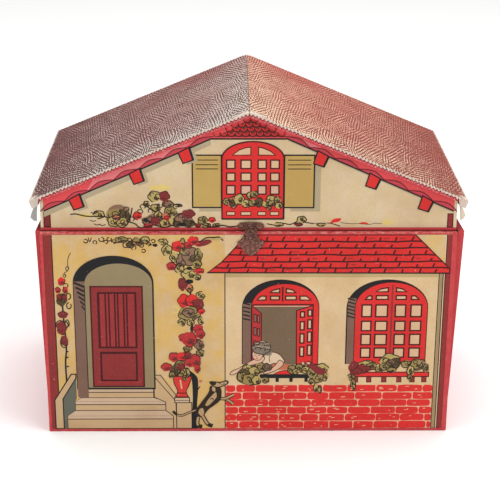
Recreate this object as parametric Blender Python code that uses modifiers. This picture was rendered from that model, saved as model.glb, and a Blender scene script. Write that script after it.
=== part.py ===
"""House-shaped toy box of covered board: a case with a drop front, a hinged roof lid and a stamped hasp.

Metres, +Z up. The front looks towards -Y. The origin is on the surface the box stands on, under the
middle of the whole object. The front leaf drops forward on a cloth hinge along its outer bottom edge,
the roof lifts on two butt hinges behind, and the hasp's tongue swings on a pin on the front leaf.
"""

import math

import bmesh
import bpy
from mathutils import Matrix, Vector

MM = 0.001

# Driving dimensions
FRONT_WIDTH = 320 * MM
LEAF_TOP = 170 * MM
CASE_DEPTH = 186 * MM
ROOF_ANGLE = math.radians(22.6)
SLOPE_LENGTH = 180 * MM
GABLE_FOOT = 171 * MM
GABLE_EAVE = 194.4 * MM
GABLE_PEAK = GABLE_EAVE + FRONT_WIDTH / 2 * math.tan(ROOF_ANGLE)

# Stock thicknesses and clearances
GAP = 0.3 * MM
CLOTH = 0.4 * MM
PAPER = 0.3 * MM
BOARD = 4.0 * MM
LEAF_BOARD = 3.5 * MM
ROOF_BOARD = 2.4 * MM
ROOF_PAPER = 1.2 * MM
FLAP_CARD = 0.6 * MM
COVER = GAP + CLOTH
LEAF_CLEARANCE = 0.5 * MM

# Metalwork
PLATE = 0.8 * MM
HASP_KNUCKLE = 1.35 * MM
HASP_BORE = 0.75 * MM
HASP_PIN = 0.6 * MM
HASP_X = 1.5 * MM
HINGE_KNUCKLE = 1.5 * MM
HINGE_BORE = 0.85 * MM
HINGE_PIN = 0.7 * MM
HINGE_HALF = 10 * MM
HINGE_TAB = 3.5 * MM
HINGE_LEAF = 12 * MM
HINGE_X = 95 * MM
NAIL_HEAD = 1.0 * MM
NAIL_DOME = 0.5 * MM
NAIL_SHANK = 0.35 * MM
NAIL_REACH = 3.6 * MM
NAIL_CLEARANCE = 0.12 * MM
ROUND_STEPS = 20

# Planes across the depth, front to back
LEAF_THICK = LEAF_BOARD + 2 * COVER
HASP_STANDS = GAP + 2 * HASP_KNUCKLE
HINGE_STANDS = GAP + 2 * HINGE_KNUCKLE
DEPTH_OVERALL = HASP_STANDS + LEAF_THICK + LEAF_CLEARANCE + CASE_DEPTH + HINGE_STANDS
FACE = HASP_STANDS - DEPTH_OVERALL / 2
CASE_FRONT = FACE + LEAF_THICK + LEAF_CLEARANCE
CASE_BACK = CASE_FRONT + CASE_DEPTH
ROOF_FRONT = CASE_FRONT - 2.6 * MM
ROOF_BACK = CASE_BACK + 3.0 * MM

# Planes across the width, and heights
HALF = FRONT_WIDTH / 2
WALL_OUT = HALF - COVER
WALL_IN = WALL_OUT - BOARD
BASE_BOTTOM = COVER
BASE_TOP = BASE_BOTTOM + BOARD
WALL_FOOT = BASE_TOP + GAP
WALL_TOP = LEAF_TOP - COVER
LINING_TOP = WALL_TOP - 1.5 * MM

# The free front corners of the side walls have sprung outwards at the top
SPREAD = {-1: 4.0 * MM, 1: 6.0 * MM}
SPREAD_CUTS = 6

# Cloth hinge, leaf margins and turn-ins
HINGE_CLOTH_REACH = 20 * MM
LEAF_FOOT = 1.45 * MM
MARGIN_LEFT = 2.2 * MM
MARGIN_RIGHT = 3.8 * MM
MARGIN_TOP = 0.8 * MM
MARGIN_FOOT = 2.4 * MM
TURN_IN = 8 * MM

# Lid details, in slope coordinates: s down from the ridge, n square to the slope
ROOF_UNDER = GAP
ROOF_BOARD_TOP = ROOF_UNDER + ROOF_BOARD
ROOF_PAPER_UNDER = ROOF_BOARD_TOP + GAP
ROOF_TOP = ROOF_PAPER_UNDER + ROOF_PAPER
EAVE_DROP = 2.7 * MM
EAVE_BATTEN_START = SLOPE_LENGTH - 5.2 * MM
RIDGE_GAP = 0.15 * MM
ROOF_END_SKIN = 0.5 * MM
GABLE_HALF = HALF - 0.4 * MM
GABLE_MARGIN_LEFT = 2.8 * MM
GABLE_MARGIN_RIGHT = 1.6 * MM
GABLE_TAPE = 1.8 * MM
GABLE_PRINT_FOOT = GABLE_FOOT + GABLE_TAPE + GAP
FLAP_LENGTH = 14.5 * MM
FLAP_CORNER = 7 * MM
FLAP_START = 14
FLAP_FLARE = 30
FLAP_X = 161.9 * MM
FLAP_TOP = 190.0 * MM

# Hasp layout
HASP_AXIS_Y = FACE - GAP - HASP_KNUCKLE
HASP_AXIS_Z = 166.3 * MM
TONGUE_HALF = 4.6 * MM
TONGUE_TOP = 177.8 * MM
SHIELD_LUG = 1.7 * MM
LID_PLATE_BACK = CASE_FRONT - GAP
LID_PLATE_Z = 174.1 * MM

HINGE_AXIS_Y = CASE_BACK + HINGE_STANDS - HINGE_KNUCKLE
HINGE_AXIS_Z = (LEAF_TOP + GABLE_FOOT) / 2


def collection(name):
    made = bpy.data.collections.new(name)
    bpy.context.scene.collection.children.link(made)
    return made


def material(name, rgb, roughness, metallic=0.0):
    made = bpy.data.materials.new(name)
    made.use_nodes = True
    shader = made.node_tree.nodes["Principled BSDF"]
    shader.inputs["Base Color"].default_value = (*rgb, 1)
    shader.inputs["Roughness"].default_value = roughness
    shader.inputs["Metallic"].default_value = metallic
    return made


def add(name, mesh, finish, place=(0, 0, 0), group="toy_box"):
    """One named object, its mesh built round its own location."""
    made = bpy.data.objects.new(name, mesh)
    made.location = place
    if finish:
        mesh.materials.append(FINISHES[finish])
    bpy.data.collections[group].objects.link(made)
    return made


def box(name, low, high, finish, cuts=0, group="toy_box"):
    """A board, sheet or strip between two corners. Its long edges are cut if it has to take a curve."""
    low, high = Vector(low), Vector(high)
    mesh = bpy.data.meshes.new(name)
    bm = bmesh.new()
    bmesh.ops.create_cube(bm, size=1)
    bmesh.ops.scale(bm, vec=high - low, verts=bm.verts)
    if cuts:
        long_edges = [e for e in bm.edges if e.calc_length() > 20 * MM]
        bmesh.ops.subdivide_edges(bm, edges=long_edges, cuts=cuts, use_grid_fill=True)
    bm.to_mesh(mesh)
    bm.free()
    return add(name, mesh, finish, (low + high) / 2, group)


def as_cutter(made):
    made.hide_render = True
    made.display_type = "WIRE"
    return made


def boolean(target, tool, operation):
    step = target.modifiers.new(tool.name, "BOOLEAN")
    step.operation = operation
    step.object = as_cutter(tool)
    return target


def cut(target, tool):
    return boolean(target, tool, "DIFFERENCE")


def join(target, tool):
    return boolean(target, tool, "UNION")


def spread(made, side):
    """Leans a side wall, or what covers it, outwards towards its free front top corner."""
    for vertex in made.data.vertices:
        point = vertex.co + made.location
        along = min(1.0, max(0.0, (CASE_BACK - point.y) / CASE_DEPTH))
        up = min(1.0, max(0.0, point.z / LEAF_TOP))
        vertex.co.x += side * SPREAD[side] * up * along**1.5
    return made


def outline(name, loops, finish, thickness, place, across="XZ", group="toy_box"):
    """A flat shape cut from sheet: closed loops in the XZ or YZ plane, the second and later ones holes."""
    curve = bpy.data.curves.new(name, "CURVE")
    curve.dimensions = "2D"
    curve.fill_mode = "BOTH"
    curve.extrude = thickness / 2
    for points in loops:
        spline = curve.splines.new("POLY")
        spline.points.add(len(points) - 1)
        for target, (u, v) in zip(spline.points, points):
            target.co = (u, v, 0, 1)
        spline.use_cyclic_u = True
    drawn = bpy.data.objects.new(name + "_outline", curve)
    bpy.data.collections["cutters"].objects.link(drawn)
    drawn.location = place
    drawn.rotation_euler = (math.pi / 2, 0, 0 if across == "XZ" else math.pi / 2)
    bpy.context.view_layer.update()
    graph = bpy.context.evaluated_depsgraph_get()
    mesh = bpy.data.meshes.new_from_object(drawn.evaluated_get(graph))
    mesh.name = name
    bm = bmesh.new()
    bm.from_mesh(mesh)
    bmesh.ops.remove_doubles(bm, verts=bm.verts, dist=0.01 * MM)
    bmesh.ops.recalc_face_normals(bm, faces=bm.faces)
    bm.to_mesh(mesh)
    bm.free()
    mesh.materials.clear()
    made = add(name, mesh, finish, group=group)
    made.matrix_world = drawn.matrix_world.copy()
    bpy.data.objects.remove(drawn)
    return made


def circle(radius, centre=(0, 0), steps=ROUND_STEPS):
    turn = [2 * math.pi * i / steps for i in range(steps)]
    return [(centre[0] + radius * math.cos(a), centre[1] + radius * math.sin(a)) for a in turn]


def smooth(points, steps=5):
    """A closed curve through the points, by Catmull-Rom."""
    made = []
    count = len(points)
    for i in range(count):
        a, b, c, d = (Vector(points[(i + k) % count]) for k in (-1, 0, 1, 2))
        for step in range(steps):
            t = step / steps
            made.append(tuple(0.5 * (2 * b + (c - a) * t + (2 * a - 5 * b + 4 * c - d) * t**2
                                     + (3 * b - a - 3 * c + d) * t**3)))
    return made


def mirrored(half):
    """A closed outline from its right half, listed top to bottom, whose end points may lie on the middle."""
    return half + [(-x, z) for x, z in reversed(half) if abs(x) > 1e-9]


def bent_strip(path, thickness):
    """The closed outline of a strip that follows a path of straight runs, mitred at its bends."""
    path = [Vector(p) for p in path]
    normals = []
    for start, end in zip(path, path[1:]):
        run = (end - start).normalized()
        normals.append(Vector((-run.y, run.x)))
    sides = []
    for i, point in enumerate(path):
        before = normals[max(i - 1, 0)]
        after = normals[min(i, len(normals) - 1)]
        mitre = (before + after).normalized()
        sides.append((point, mitre * thickness / 2 / mitre.dot(after)))
    return [tuple(p + m) for p, m in sides] + [tuple(p - m) for p, m in reversed(sides)]


def shade(made, degrees=35):
    made.data.shade_smooth()
    made.data.set_sharp_from_angle(angle=math.radians(degrees))
    return made


def rod(name, radius, length, centre, finish, group="toy_box"):
    """A round rod along X."""
    mesh = bpy.data.meshes.new(name)
    bm = bmesh.new()
    turn = Matrix.Rotation(math.pi / 2, 4, "Y")
    bmesh.ops.create_cone(bm, cap_ends=True, segments=ROUND_STEPS, radius1=radius, radius2=radius,
                          depth=length, matrix=turn)
    bm.to_mesh(mesh)
    bm.free()
    return shade(add(name, mesh, finish, centre, group))


def nail_mesh():
    """A round-headed nail turned about Z: its head's underside at z 0, its shank running down."""
    profile = [(0, NAIL_DOME), (NAIL_HEAD * 0.6, NAIL_DOME * 0.8), (NAIL_HEAD, NAIL_DOME * 0.1),
               (NAIL_HEAD, 0), (NAIL_SHANK, 0), (NAIL_SHANK, -NAIL_REACH + NAIL_SHANK * 2), (0, -NAIL_REACH)]
    mesh = bpy.data.meshes.new("nail_profile")
    mesh.from_pydata([(x, 0, z) for x, z in profile], [(i, i + 1) for i in range(len(profile) - 1)], [])
    turned = bpy.data.objects.new("nail_profile", mesh)
    bpy.data.collections["cutters"].objects.link(turned)
    screw = turned.modifiers.new("turn", "SCREW")
    screw.steps = screw.render_steps = 10
    screw.use_merge_vertices = True
    screw.merge_threshold = 0.01 * MM
    graph = bpy.context.evaluated_depsgraph_get()
    made = bpy.data.meshes.new_from_object(turned.evaluated_get(graph))
    bpy.data.objects.remove(turned)
    made.name = "nail"
    made.materials.append(FINISHES["iron"])
    return made


def nails(name, places, face_y, towards, targets):
    """Nails driven along Y at (x, z) places, with their clearance holes in the pieces they pass."""
    turn = Matrix.Rotation(math.pi / 2 * towards, 4, "X")
    holes = bmesh.new()
    mesh = bpy.data.meshes.get("nail") or nail_mesh()
    for number, (x, z) in enumerate(places, 1):
        seat = Matrix.Translation((x, face_y, z))
        made = bpy.data.objects.new("%s_%d" % (name, number), mesh)
        made.matrix_world = seat @ Matrix.Translation((0, -towards * NAIL_CLEARANCE, 0)) @ turn
        bpy.data.collections["toy_box"].objects.link(made)
        shade(made)
        radius = NAIL_SHANK + NAIL_CLEARANCE
        bmesh.ops.create_cone(holes, cap_ends=True, segments=10, radius1=radius, radius2=radius,
                              depth=4 * NAIL_REACH, matrix=seat @ turn)
    drilled = bpy.data.meshes.new(name + "_holes")
    holes.to_mesh(drilled)
    holes.free()
    tool = add(name + "_holes", drilled, None, group="cutters")
    for target in targets:
        cut(target, tool)


def case_body():
    inner_back = CASE_BACK - COVER - BOARD
    box("base_board", (-WALL_OUT, CASE_FRONT + COVER, BASE_BOTTOM),
        (WALL_OUT, CASE_BACK - COVER, BASE_TOP), "board")
    strip_back = CASE_FRONT + HINGE_CLOTH_REACH
    box("front_hinge_cloth", (-WALL_OUT, FACE + GAP, 0), (WALL_OUT, strip_back, CLOTH), "cloth")
    box("base_paper", (-WALL_OUT, strip_back + GAP, 0), (WALL_OUT, CASE_BACK - COVER, CLOTH), "lining")
    box("back_wall", (-WALL_IN + GAP, inner_back, WALL_FOOT), (WALL_IN - GAP, CASE_BACK - COVER, WALL_TOP),
        "board")
    wall_skin("back_wall_cloth", (-WALL_IN + GAP, inner_back, BASE_BOTTOM),
              (WALL_IN - GAP, CASE_BACK - CLOTH, LEAF_TOP - CLOTH), ("back", "top"))
    lining_back = inner_back - GAP
    room = WALL_IN - GAP
    box("back_lining", (-room + 2 * PAPER, lining_back - PAPER, WALL_FOOT + 2 * PAPER),
        (room - 2 * PAPER, lining_back, LINING_TOP), "lining")
    box("floor_lining", (-room + 2 * PAPER, CASE_FRONT + COVER, BASE_TOP + GAP),
        (room - 2 * PAPER, lining_back - 2 * PAPER, BASE_TOP + GAP + PAPER), "lining")
    for side, word in ((-1, "left"), (1, "right")):
        x_in, x_out = side * WALL_IN, side * WALL_OUT
        wall = box(word + "_side_wall", (min(x_in, x_out), CASE_FRONT + COVER, WALL_FOOT),
                   (max(x_in, x_out), CASE_BACK - COVER, WALL_TOP), "board", SPREAD_CUTS)
        spread(wall, side)
        skin_out = side * (WALL_OUT + GAP)
        skin = wall_skin(word + "_wall_cloth", (min(x_in, skin_out), CASE_FRONT + CLOTH, BASE_BOTTOM),
                         (max(x_in, skin_out), CASE_BACK - CLOTH, LEAF_TOP - CLOTH),
                         ("right" if side > 0 else "left", "top", "front", "back"), SPREAD_CUTS)
        spread(skin, side)
        faces = sorted((side * room, side * (room - PAPER)))
        lining = box(word + "_lining", (faces[0], CASE_FRONT + 2 * MM, WALL_FOOT + 2 * PAPER),
                     (faces[1], lining_back - 2 * PAPER, LINING_TOP), "lining", SPREAD_CUTS)
        spread(lining, side)


def wall_skin(name, low, high, kept, cuts=0):
    """A covering cloth over some faces of a box, thickened outwards from an open surface."""
    made = box(name, low, high, "cloth", cuts)
    toward = {"left": (-1, 0, 0), "right": (1, 0, 0), "front": (0, -1, 0), "back": (0, 1, 0),
              "top": (0, 0, 1)}
    bm = bmesh.new()
    bm.from_mesh(made.data)
    bm.normal_update()
    dropped = [f for f in bm.faces if not any(f.normal.dot(Vector(toward[k])) > 0.9 for k in kept)]
    bmesh.ops.delete(bm, geom=dropped, context="FACES")
    bm.to_mesh(made.data)
    bm.free()
    thick = made.modifiers.new("cloth", "SOLIDIFY")
    thick.thickness = CLOTH
    thick.offset = 1
    thick.use_even_offset = True
    return made


def front_leaf():
    board_front = FACE + COVER
    board = box("front_leaf_board", (-WALL_OUT, board_front, LEAF_FOOT),
                (WALL_OUT, board_front + LEAF_BOARD, WALL_TOP), "board")
    binding = box("front_leaf_binding", (-HALF, FACE, LEAF_FOOT - COVER), (HALF, FACE + LEAF_THICK, LEAF_TOP),
                  "cloth")
    hollow = box("leaf_hollow", (-WALL_OUT - GAP, board_front - GAP, LEAF_FOOT - GAP),
                 (WALL_OUT + GAP, board_front + LEAF_BOARD + GAP, WALL_TOP + GAP), None, group="cutters")
    left, right = -HALF + MARGIN_LEFT, HALF - MARGIN_RIGHT
    window = box("leaf_print_window", (left, FACE - BOARD, MARGIN_FOOT),
                 (right, board_front + BOARD / 2, LEAF_TOP - MARGIN_TOP), None, group="cutters")
    inside = box("leaf_lining_window", (-HALF + TURN_IN, board_front + BOARD / 2, TURN_IN),
                 (HALF - TURN_IN, FACE + 2 * LEAF_THICK, LEAF_TOP - TURN_IN), None, group="cutters")
    for tool in (hollow, window, inside):
        cut(binding, tool)
    sheet = box("front_print", (left + GAP, board_front - GAP - PAPER, MARGIN_FOOT + GAP),
                (right - GAP, board_front - GAP, LEAF_TOP - MARGIN_TOP - GAP), "print")
    lining_y = board_front + LEAF_BOARD + GAP
    box("front_leaf_lining", (-HALF + TURN_IN + GAP, lining_y, TURN_IN + GAP),
        (HALF - TURN_IN - GAP, lining_y + PAPER, LEAF_TOP - TURN_IN - GAP), "lining")
    hasp_shield((sheet, board, binding))


def hasp_shield(backing):
    """The shield on the front leaf, its two lugs, the pin through them and the swinging tongue."""
    half = [(5.2, 168.2), (6.5, 165.5), (10.3, 163.3), (10.0, 161.2), (7.0, 158.4), (4.6, 154.6), (0, 152.2)]
    shape = [(x * MM, z * MM) for x, z in half]
    plate_y = FACE - GAP - PLATE / 2
    shield = outline("hasp_shield", [smooth(mirrored(shape))], "iron", PLATE, (HASP_X, plate_y, 0))
    lug_x = TONGUE_HALF + GAP + SHIELD_LUG / 2
    centre = (HASP_AXIS_Y, HASP_AXIS_Z)
    for side in (-1, 1):
        lug = outline("lug_%d" % side, [circle(HASP_KNUCKLE, centre)], None, SHIELD_LUG,
                      (HASP_X + side * lug_x, 0, 0), "YZ", "cutters")
        join(shield, lug)
    notch = box("tongue_notch", (HASP_X - TONGUE_HALF - GAP, FACE - BOARD, HASP_AXIS_Z - HASP_KNUCKLE - GAP),
                (HASP_X + TONGUE_HALF + GAP, FACE, LEAF_TOP + BOARD), None, group="cutters")
    cut(shield, notch)
    length = 2 * lug_x + SHIELD_LUG
    cut(shield, rod("hasp_bore", HASP_BORE, length * 2, (HASP_X, *centre), None, "cutters"))
    rod("hasp_pin", HASP_PIN, length, (HASP_X, *centre), "iron")
    nails("hasp_shield_nail", [(HASP_X + x * MM, z * MM) for x, z in ((7.6, 162.4), (-7.6, 162.4), (0, 155.2))],
          FACE - GAP - PLATE, 1, (shield, *backing))

    head_y = LID_PLATE_BACK - PLATE - GAP - PLATE / 2
    strip = bent_strip([(HASP_AXIS_Y, HASP_AXIS_Z + HASP_BORE + GAP), (HASP_AXIS_Y, LEAF_TOP + 0.9 * MM),
                        (head_y, LEAF_TOP + 2.0 * MM), (head_y, TONGUE_TOP)], PLATE)
    tongue = outline("hasp_tongue", [strip], "iron", 2 * TONGUE_HALF, (HASP_X, 0, 0), "YZ")
    knuckle = outline("tongue_knuckle", [circle(HASP_KNUCKLE, centre)], None, 2 * TONGUE_HALF, (HASP_X, 0, 0),
                      "YZ", "cutters")
    join(tongue, knuckle)
    cut(tongue, bpy.data.objects["hasp_bore"])


def slope(s, n):
    """The (x, z) of a point s down the right-hand slope from the ridge, n square to it."""
    sin, cos = math.sin(ROOF_ANGLE), math.cos(ROOF_ANGLE)
    return s * cos + n * sin, GABLE_PEAK - s * sin + n * cos


def ridge(n, x=RIDGE_GAP):
    """The point at height n over the slope on the upright cut beside the ridge."""
    return slope((x - n * math.sin(ROOF_ANGLE)) / math.cos(ROOF_ANGLE), n)


def gable_shape(left, right, foot, inset=0.0):
    eave = [GABLE_PEAK - inset - x * math.tan(ROOF_ANGLE) for x in (left, right)]
    return [(-left, foot), (right, foot), (right, eave[1]), (0, GABLE_PEAK - inset), (-left, eave[0])]


def lid():
    board_y = CASE_FRONT + COVER
    middle = board_y + BOARD / 2
    whole = gable_shape(GABLE_HALF, GABLE_HALF, GABLE_FOOT)
    front = outline("front_gable", [whole], "edge_paper", BOARD, (0, middle, 0))
    shape = gable_shape(GABLE_HALF - GABLE_MARGIN_LEFT, GABLE_HALF - GABLE_MARGIN_RIGHT, GABLE_PRINT_FOOT,
                        0.5 * MM)
    sheet = outline("gable_print", [shape], "print", PAPER, (0, board_y - GAP - PAPER / 2, 0))
    box("gable_foot_tape", (-GABLE_HALF, board_y - GAP - PAPER, GABLE_FOOT),
        (GABLE_HALF, board_y - GAP, GABLE_FOOT + GABLE_TAPE), "cloth")
    back = outline("back_gable", [whole], "edge_paper", BOARD, (0, CASE_BACK - COVER - BOARD / 2, 0))
    inset = gable_shape(GABLE_HALF - MM, GABLE_HALF - MM, GABLE_FOOT + MM, MM)
    paper = outline("back_gable_paper", [inset], "edge_paper", PAPER, (0, CASE_BACK - CLOTH + PAPER / 2, 0))
    for side, word in ((-1, "left"), (1, "right")):
        roof_side(side, word)
        flap(side, word)
    lid_plate((sheet, front))
    for side, word in ((-1, "left"), (1, "right")):
        butt_hinge(word, side * HINGE_X, paper, back)


def roof_side(side, word):
    """One slope of the roof: its board, the embossed paper over it and the batten under its eave."""
    depth = ROOF_BACK - ROOF_FRONT
    middle = (0, (ROOF_FRONT + ROOF_BACK) / 2, 0)
    board_end = SLOPE_LENGTH - ROOF_PAPER - GAP

    def handed(points):
        return [(side * x, z) for x, z in points]

    board = [ridge(ROOF_UNDER), ridge(ROOF_BOARD_TOP), slope(board_end, ROOF_BOARD_TOP),
             slope(board_end, ROOF_UNDER)]
    inner_depth = depth - 2 * (ROOF_END_SKIN + GAP)
    outline(word + "_roof_board", [handed(board)], "board", inner_depth, middle)
    batten = [slope(EAVE_BATTEN_START, 0), slope(board_end, 0), slope(board_end, -EAVE_DROP + 0.1 * MM),
              slope(EAVE_BATTEN_START, -EAVE_DROP + 0.1 * MM)]
    outline(word + "_eave_batten", [handed(batten)], "board", inner_depth, middle)
    lip = EAVE_BATTEN_START - GAP
    whole = [ridge(ROOF_UNDER), ridge(ROOF_TOP), slope(SLOPE_LENGTH, ROOF_TOP),
             slope(SLOPE_LENGTH, -EAVE_DROP), slope(lip, -EAVE_DROP), slope(lip, ROOF_UNDER)]
    paper = outline(word + "_roof_paper", [handed(whole)], "roof_paper", depth, middle)
    far = 30 * MM
    hollow_end = SLOPE_LENGTH - ROOF_PAPER
    hollow = [slope(-far, -far), slope(-far, ROOF_PAPER_UNDER), slope(hollow_end, ROOF_PAPER_UNDER),
              slope(hollow_end, -far)]
    cut(paper, outline(word + "_roof_hollow", [handed(hollow)], None, depth - 2 * ROOF_END_SKIN, middle,
                       group="cutters"))


def flap(side, word):
    """The card that closes the lid's end under the eave. It has curled outwards, and its corners are round."""
    along, down = 40, 6
    mesh = bpy.data.meshes.new(word + "_lid_flap")
    bm = bmesh.new()
    bmesh.ops.create_grid(bm, x_segments=along, y_segments=down, size=0.5)
    start, end = CASE_FRONT + GAP, CASE_BACK - GAP
    for vertex in bm.verts:
        t_along, t_down = vertex.co.x + 0.5, vertex.co.y + 0.5
        y = start + (end - start) * t_along
        from_end = min(y - start, end - y)
        short = max(0.0, 1 - from_end / FLAP_CORNER)
        length = FLAP_LENGTH - FLAP_CORNER * (1 - math.sqrt(1 - short**2))
        run = t_down * length
        lean = math.radians(FLAP_START + FLAP_FLARE * t_down / 2)
        vertex.co = (side * (FLAP_X + run * math.sin(lean)), y, FLAP_TOP - run * math.cos(lean))
    bmesh.ops.recalc_face_normals(bm, faces=bm.faces)
    bm.to_mesh(mesh)
    bm.free()
    made = add(word + "_lid_flap", mesh, "lining")
    thick = made.modifiers.new("card", "SOLIDIFY")
    thick.thickness = FLAP_CARD
    thick.offset = 0
    shade(made)


def lid_plate(backing):
    """The lobed plate on the front gable that the tongue closes over."""
    half = [(0, 2.7), (4.2, 3.2), (8.0, 2.9), (10.4, 0.4), (8.2, -2.2), (4.6, -2.4), (0, -2.4)]
    shape = [(x * MM, LID_PLATE_Z + z * MM) for x, z in half]
    plate = outline("hasp_lid_plate", [smooth(mirrored(shape))], "iron", PLATE,
                    (HASP_X, LID_PLATE_BACK - PLATE / 2, 0))
    nails("hasp_lid_nail", [(HASP_X + x * MM, LID_PLATE_Z + 0.5 * MM) for x in (7.4, -7.4)],
          LID_PLATE_BACK - PLATE, 1, (plate, *backing))


def butt_hinge(word, x, gable_paper, gable):
    """A three-knuckle hinge on the back: one leaf on the case, one on the lid, and its pin."""
    tab = HINGE_TAB
    knuckles = {"case": ((-HINGE_HALF, -tab), (tab, HINGE_HALF)), "lid": ((-tab + GAP, tab - GAP),)}
    centre = (HINGE_AXIS_Y, HINGE_AXIS_Z)
    plate_y = (CASE_BACK + GAP, CASE_BACK + GAP + PLATE)
    clear = HINGE_KNUCKLE + GAP
    bore = rod(word + "_hinge_bore", HINGE_BORE, 3 * HINGE_HALF, (x, *centre), None, "cutters")
    for owner, up in (("case", -1), ("lid", 1)):
        heights = sorted((HINGE_AXIS_Z + up * clear, HINGE_AXIS_Z + up * (clear + HINGE_LEAF)))
        name = "%s_hinge_%s_leaf" % (word, owner)
        leaf = box(name, (x - HINGE_HALF, plate_y[0], heights[0]), (x + HINGE_HALF, plate_y[1], heights[1]),
                   "iron")
        for index, (start, end) in enumerate(knuckles[owner]):
            reach = sorted((HINGE_AXIS_Z + up * HINGE_BORE * 0.6, HINGE_AXIS_Z + up * (clear + MM)))
            neck = box("%s_neck_%d" % (name, index), (x + start, plate_y[0], reach[0]),
                       (x + end, plate_y[1], reach[1]), None, group="cutters")
            roll = outline("%s_roll_%d" % (name, index), [circle(HINGE_KNUCKLE, centre)], None, end - start,
                           (x + (start + end) / 2, 0, 0), "YZ", "cutters")
            join(leaf, neck)
            join(leaf, roll)
        cut(leaf, bore)
        row = HINGE_AXIS_Z + up * (clear + HINGE_LEAF * 0.6)
        places = [(x + step * HINGE_HALF * 0.6, row) for step in (-1, 1)]
        wall = ("back_wall_cloth", "back_wall")
        backing = [bpy.data.objects[n] for n in wall] if owner == "case" else [gable_paper, gable]
        nails("%s_hinge_%s_nail" % (word, owner), places, plate_y[1], -1, (leaf, *backing))
    rod(word + "_hinge_pin", HINGE_PIN, 2 * HINGE_HALF, (x, *centre), "iron")


for old in list(bpy.data.objects):
    bpy.data.objects.remove(old)
collection("toy_box")
collection("cutters")
FINISHES = {
    "board": material("grey_board", (0.42, 0.36, 0.28), 0.85),
    "cloth": material("red_bookcloth", (0.55, 0.05, 0.05), 0.7),
    "lining": material("lining_paper", (0.62, 0.56, 0.45), 0.8),
    "print": material("printed_paper", (0.66, 0.52, 0.32), 0.6),
    "edge_paper": material("cream_edge_paper", (0.74, 0.62, 0.46), 0.75),
    "roof_paper": material("embossed_roof_paper", (0.36, 0.14, 0.11), 0.75),
    "iron": material("tarnished_iron", (0.16, 0.09, 0.07), 0.6, 0.7),
}
case_body()
front_leaf()
lid()
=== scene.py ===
"""Looks of a house-shaped toy box: printed paper, book-cloth, embossed roof paper and a rusted hasp."""

import functools
import math
import random

import bmesh
import bpy
import numpy as np
from bpy.props import FloatProperty, FloatVectorProperty, PointerProperty
from bpy.types import Operator, Panel, PropertyGroup
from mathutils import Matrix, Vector


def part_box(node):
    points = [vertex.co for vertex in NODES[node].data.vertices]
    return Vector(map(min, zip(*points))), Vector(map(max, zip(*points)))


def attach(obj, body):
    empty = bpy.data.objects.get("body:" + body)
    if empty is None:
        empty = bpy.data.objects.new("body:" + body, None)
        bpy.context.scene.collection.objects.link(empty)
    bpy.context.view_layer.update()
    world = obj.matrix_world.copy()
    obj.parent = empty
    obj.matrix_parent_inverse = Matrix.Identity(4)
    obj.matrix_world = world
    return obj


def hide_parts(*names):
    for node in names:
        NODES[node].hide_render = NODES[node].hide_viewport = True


bl_info = {
    "name": "House-Shaped Toy Box",
    "version": (1, 0, 0),
    "blender": (4, 5, 0),
    "location": "View3D > Sidebar > Toy Box",
    "description": "Papers, cloths, boards and ironwork of a house-shaped toy box",
    "category": "Object",
}

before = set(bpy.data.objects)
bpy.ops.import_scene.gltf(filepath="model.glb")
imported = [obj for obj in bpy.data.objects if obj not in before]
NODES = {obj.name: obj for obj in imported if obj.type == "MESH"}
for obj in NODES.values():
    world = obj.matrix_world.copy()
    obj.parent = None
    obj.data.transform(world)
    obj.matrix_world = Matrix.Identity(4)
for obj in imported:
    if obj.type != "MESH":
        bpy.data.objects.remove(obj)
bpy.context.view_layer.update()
MM = 0.001
ROOF_ANGLE = math.radians(22.6)
ROOF_TOP = 4.2 * MM
ROOF_UNDER = 0.3 * MM
EAVE_DROP = 2.7 * MM
RIDGE_GAP = 0.15 * MM

# Printing inks and plain papers, as sRGB
INKS = {
    "buff": "#CBAC7E", "buff_light": "#D6BA92", "wall_cream": "#D3B78F", "gable_cream": "#CFB998",
    "under_eave": "#B49C6C", "red": "#CE1C1E", "verge_red": "#DA444B", "verge_soft": "#E07276",
    # The dark red for the gable's foot is painted shade of the gap over the leaf, not a printed ink.
    "verge_deep": "#BA3846", "tape_shade": "#8C1E26", "door_red": "#841E24",
    "door_light": "#932329", "deep_red": "#842022", "dark_red": "#440C10", "black": "#17171B",
    "line_brown": "#2C1E15", "arch_olive": "#8B7B5A", "jamb_brown": "#745648", "room_brown": "#6C5843",
    "step_tread": "#C3A78B", "step_riser": "#BE9E76", "step_shade": "#5A5B50", "pane": "#D0AC88",
    "pane_pink": "#CBA38C", "shutter": "#B69753", "shadow_green": "#A99A7C", "leaf": "#8F7D48",
    "leaf_dark": "#4A3C1C", "leaf_light": "#AE9A5C", "bloom": "#AE2228", "bloom_dark": "#74191F",
    "yellow": "#D3BA6E", "skin": "#D2A88C", "hair": "#74695C", "blouse": "#D6BCA0", "mortar": "#D9A88A",
    "olive_band": "#99805A", "fur": "#AE9068", "umber": "#84624E", "orange": "#B9694A", "pot": "#C8281F",
}
# Grounds sponged over with a second ink
CLOUDS = {"buff": "#CDA65C", "gable_cream": "#CDB58C", "wall_cream": "#D0B184"}
# Dense inks that let almost no fibre show
DARK_INKS = ("black", "dark_red", "line_brown")
# The lower and upper edges of the front sheet's artwork, in millimetres
ART_FOOT, ART_TOP = 2.7, 170.1


def linear(code):
    """An sRGB hex colour as linear RGB."""
    parts = [int(code[i:i + 2], 16) / 255 for i in (1, 3, 5)]
    return tuple(p / 12.92 if p <= 0.04045 else ((p + 0.055) / 1.055) ** 2.4 for p in parts)


def colour_property(name, description, code):
    return FloatVectorProperty(name=name, description=description, default=linear(code), size=3,
                               min=0, max=1, subtype="COLOR")


def length_property(name, description, millimetres):
    return FloatProperty(name=name, description=description, default=millimetres * MM, min=0.01 * MM,
                         subtype="DISTANCE", unit="LENGTH")


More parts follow.
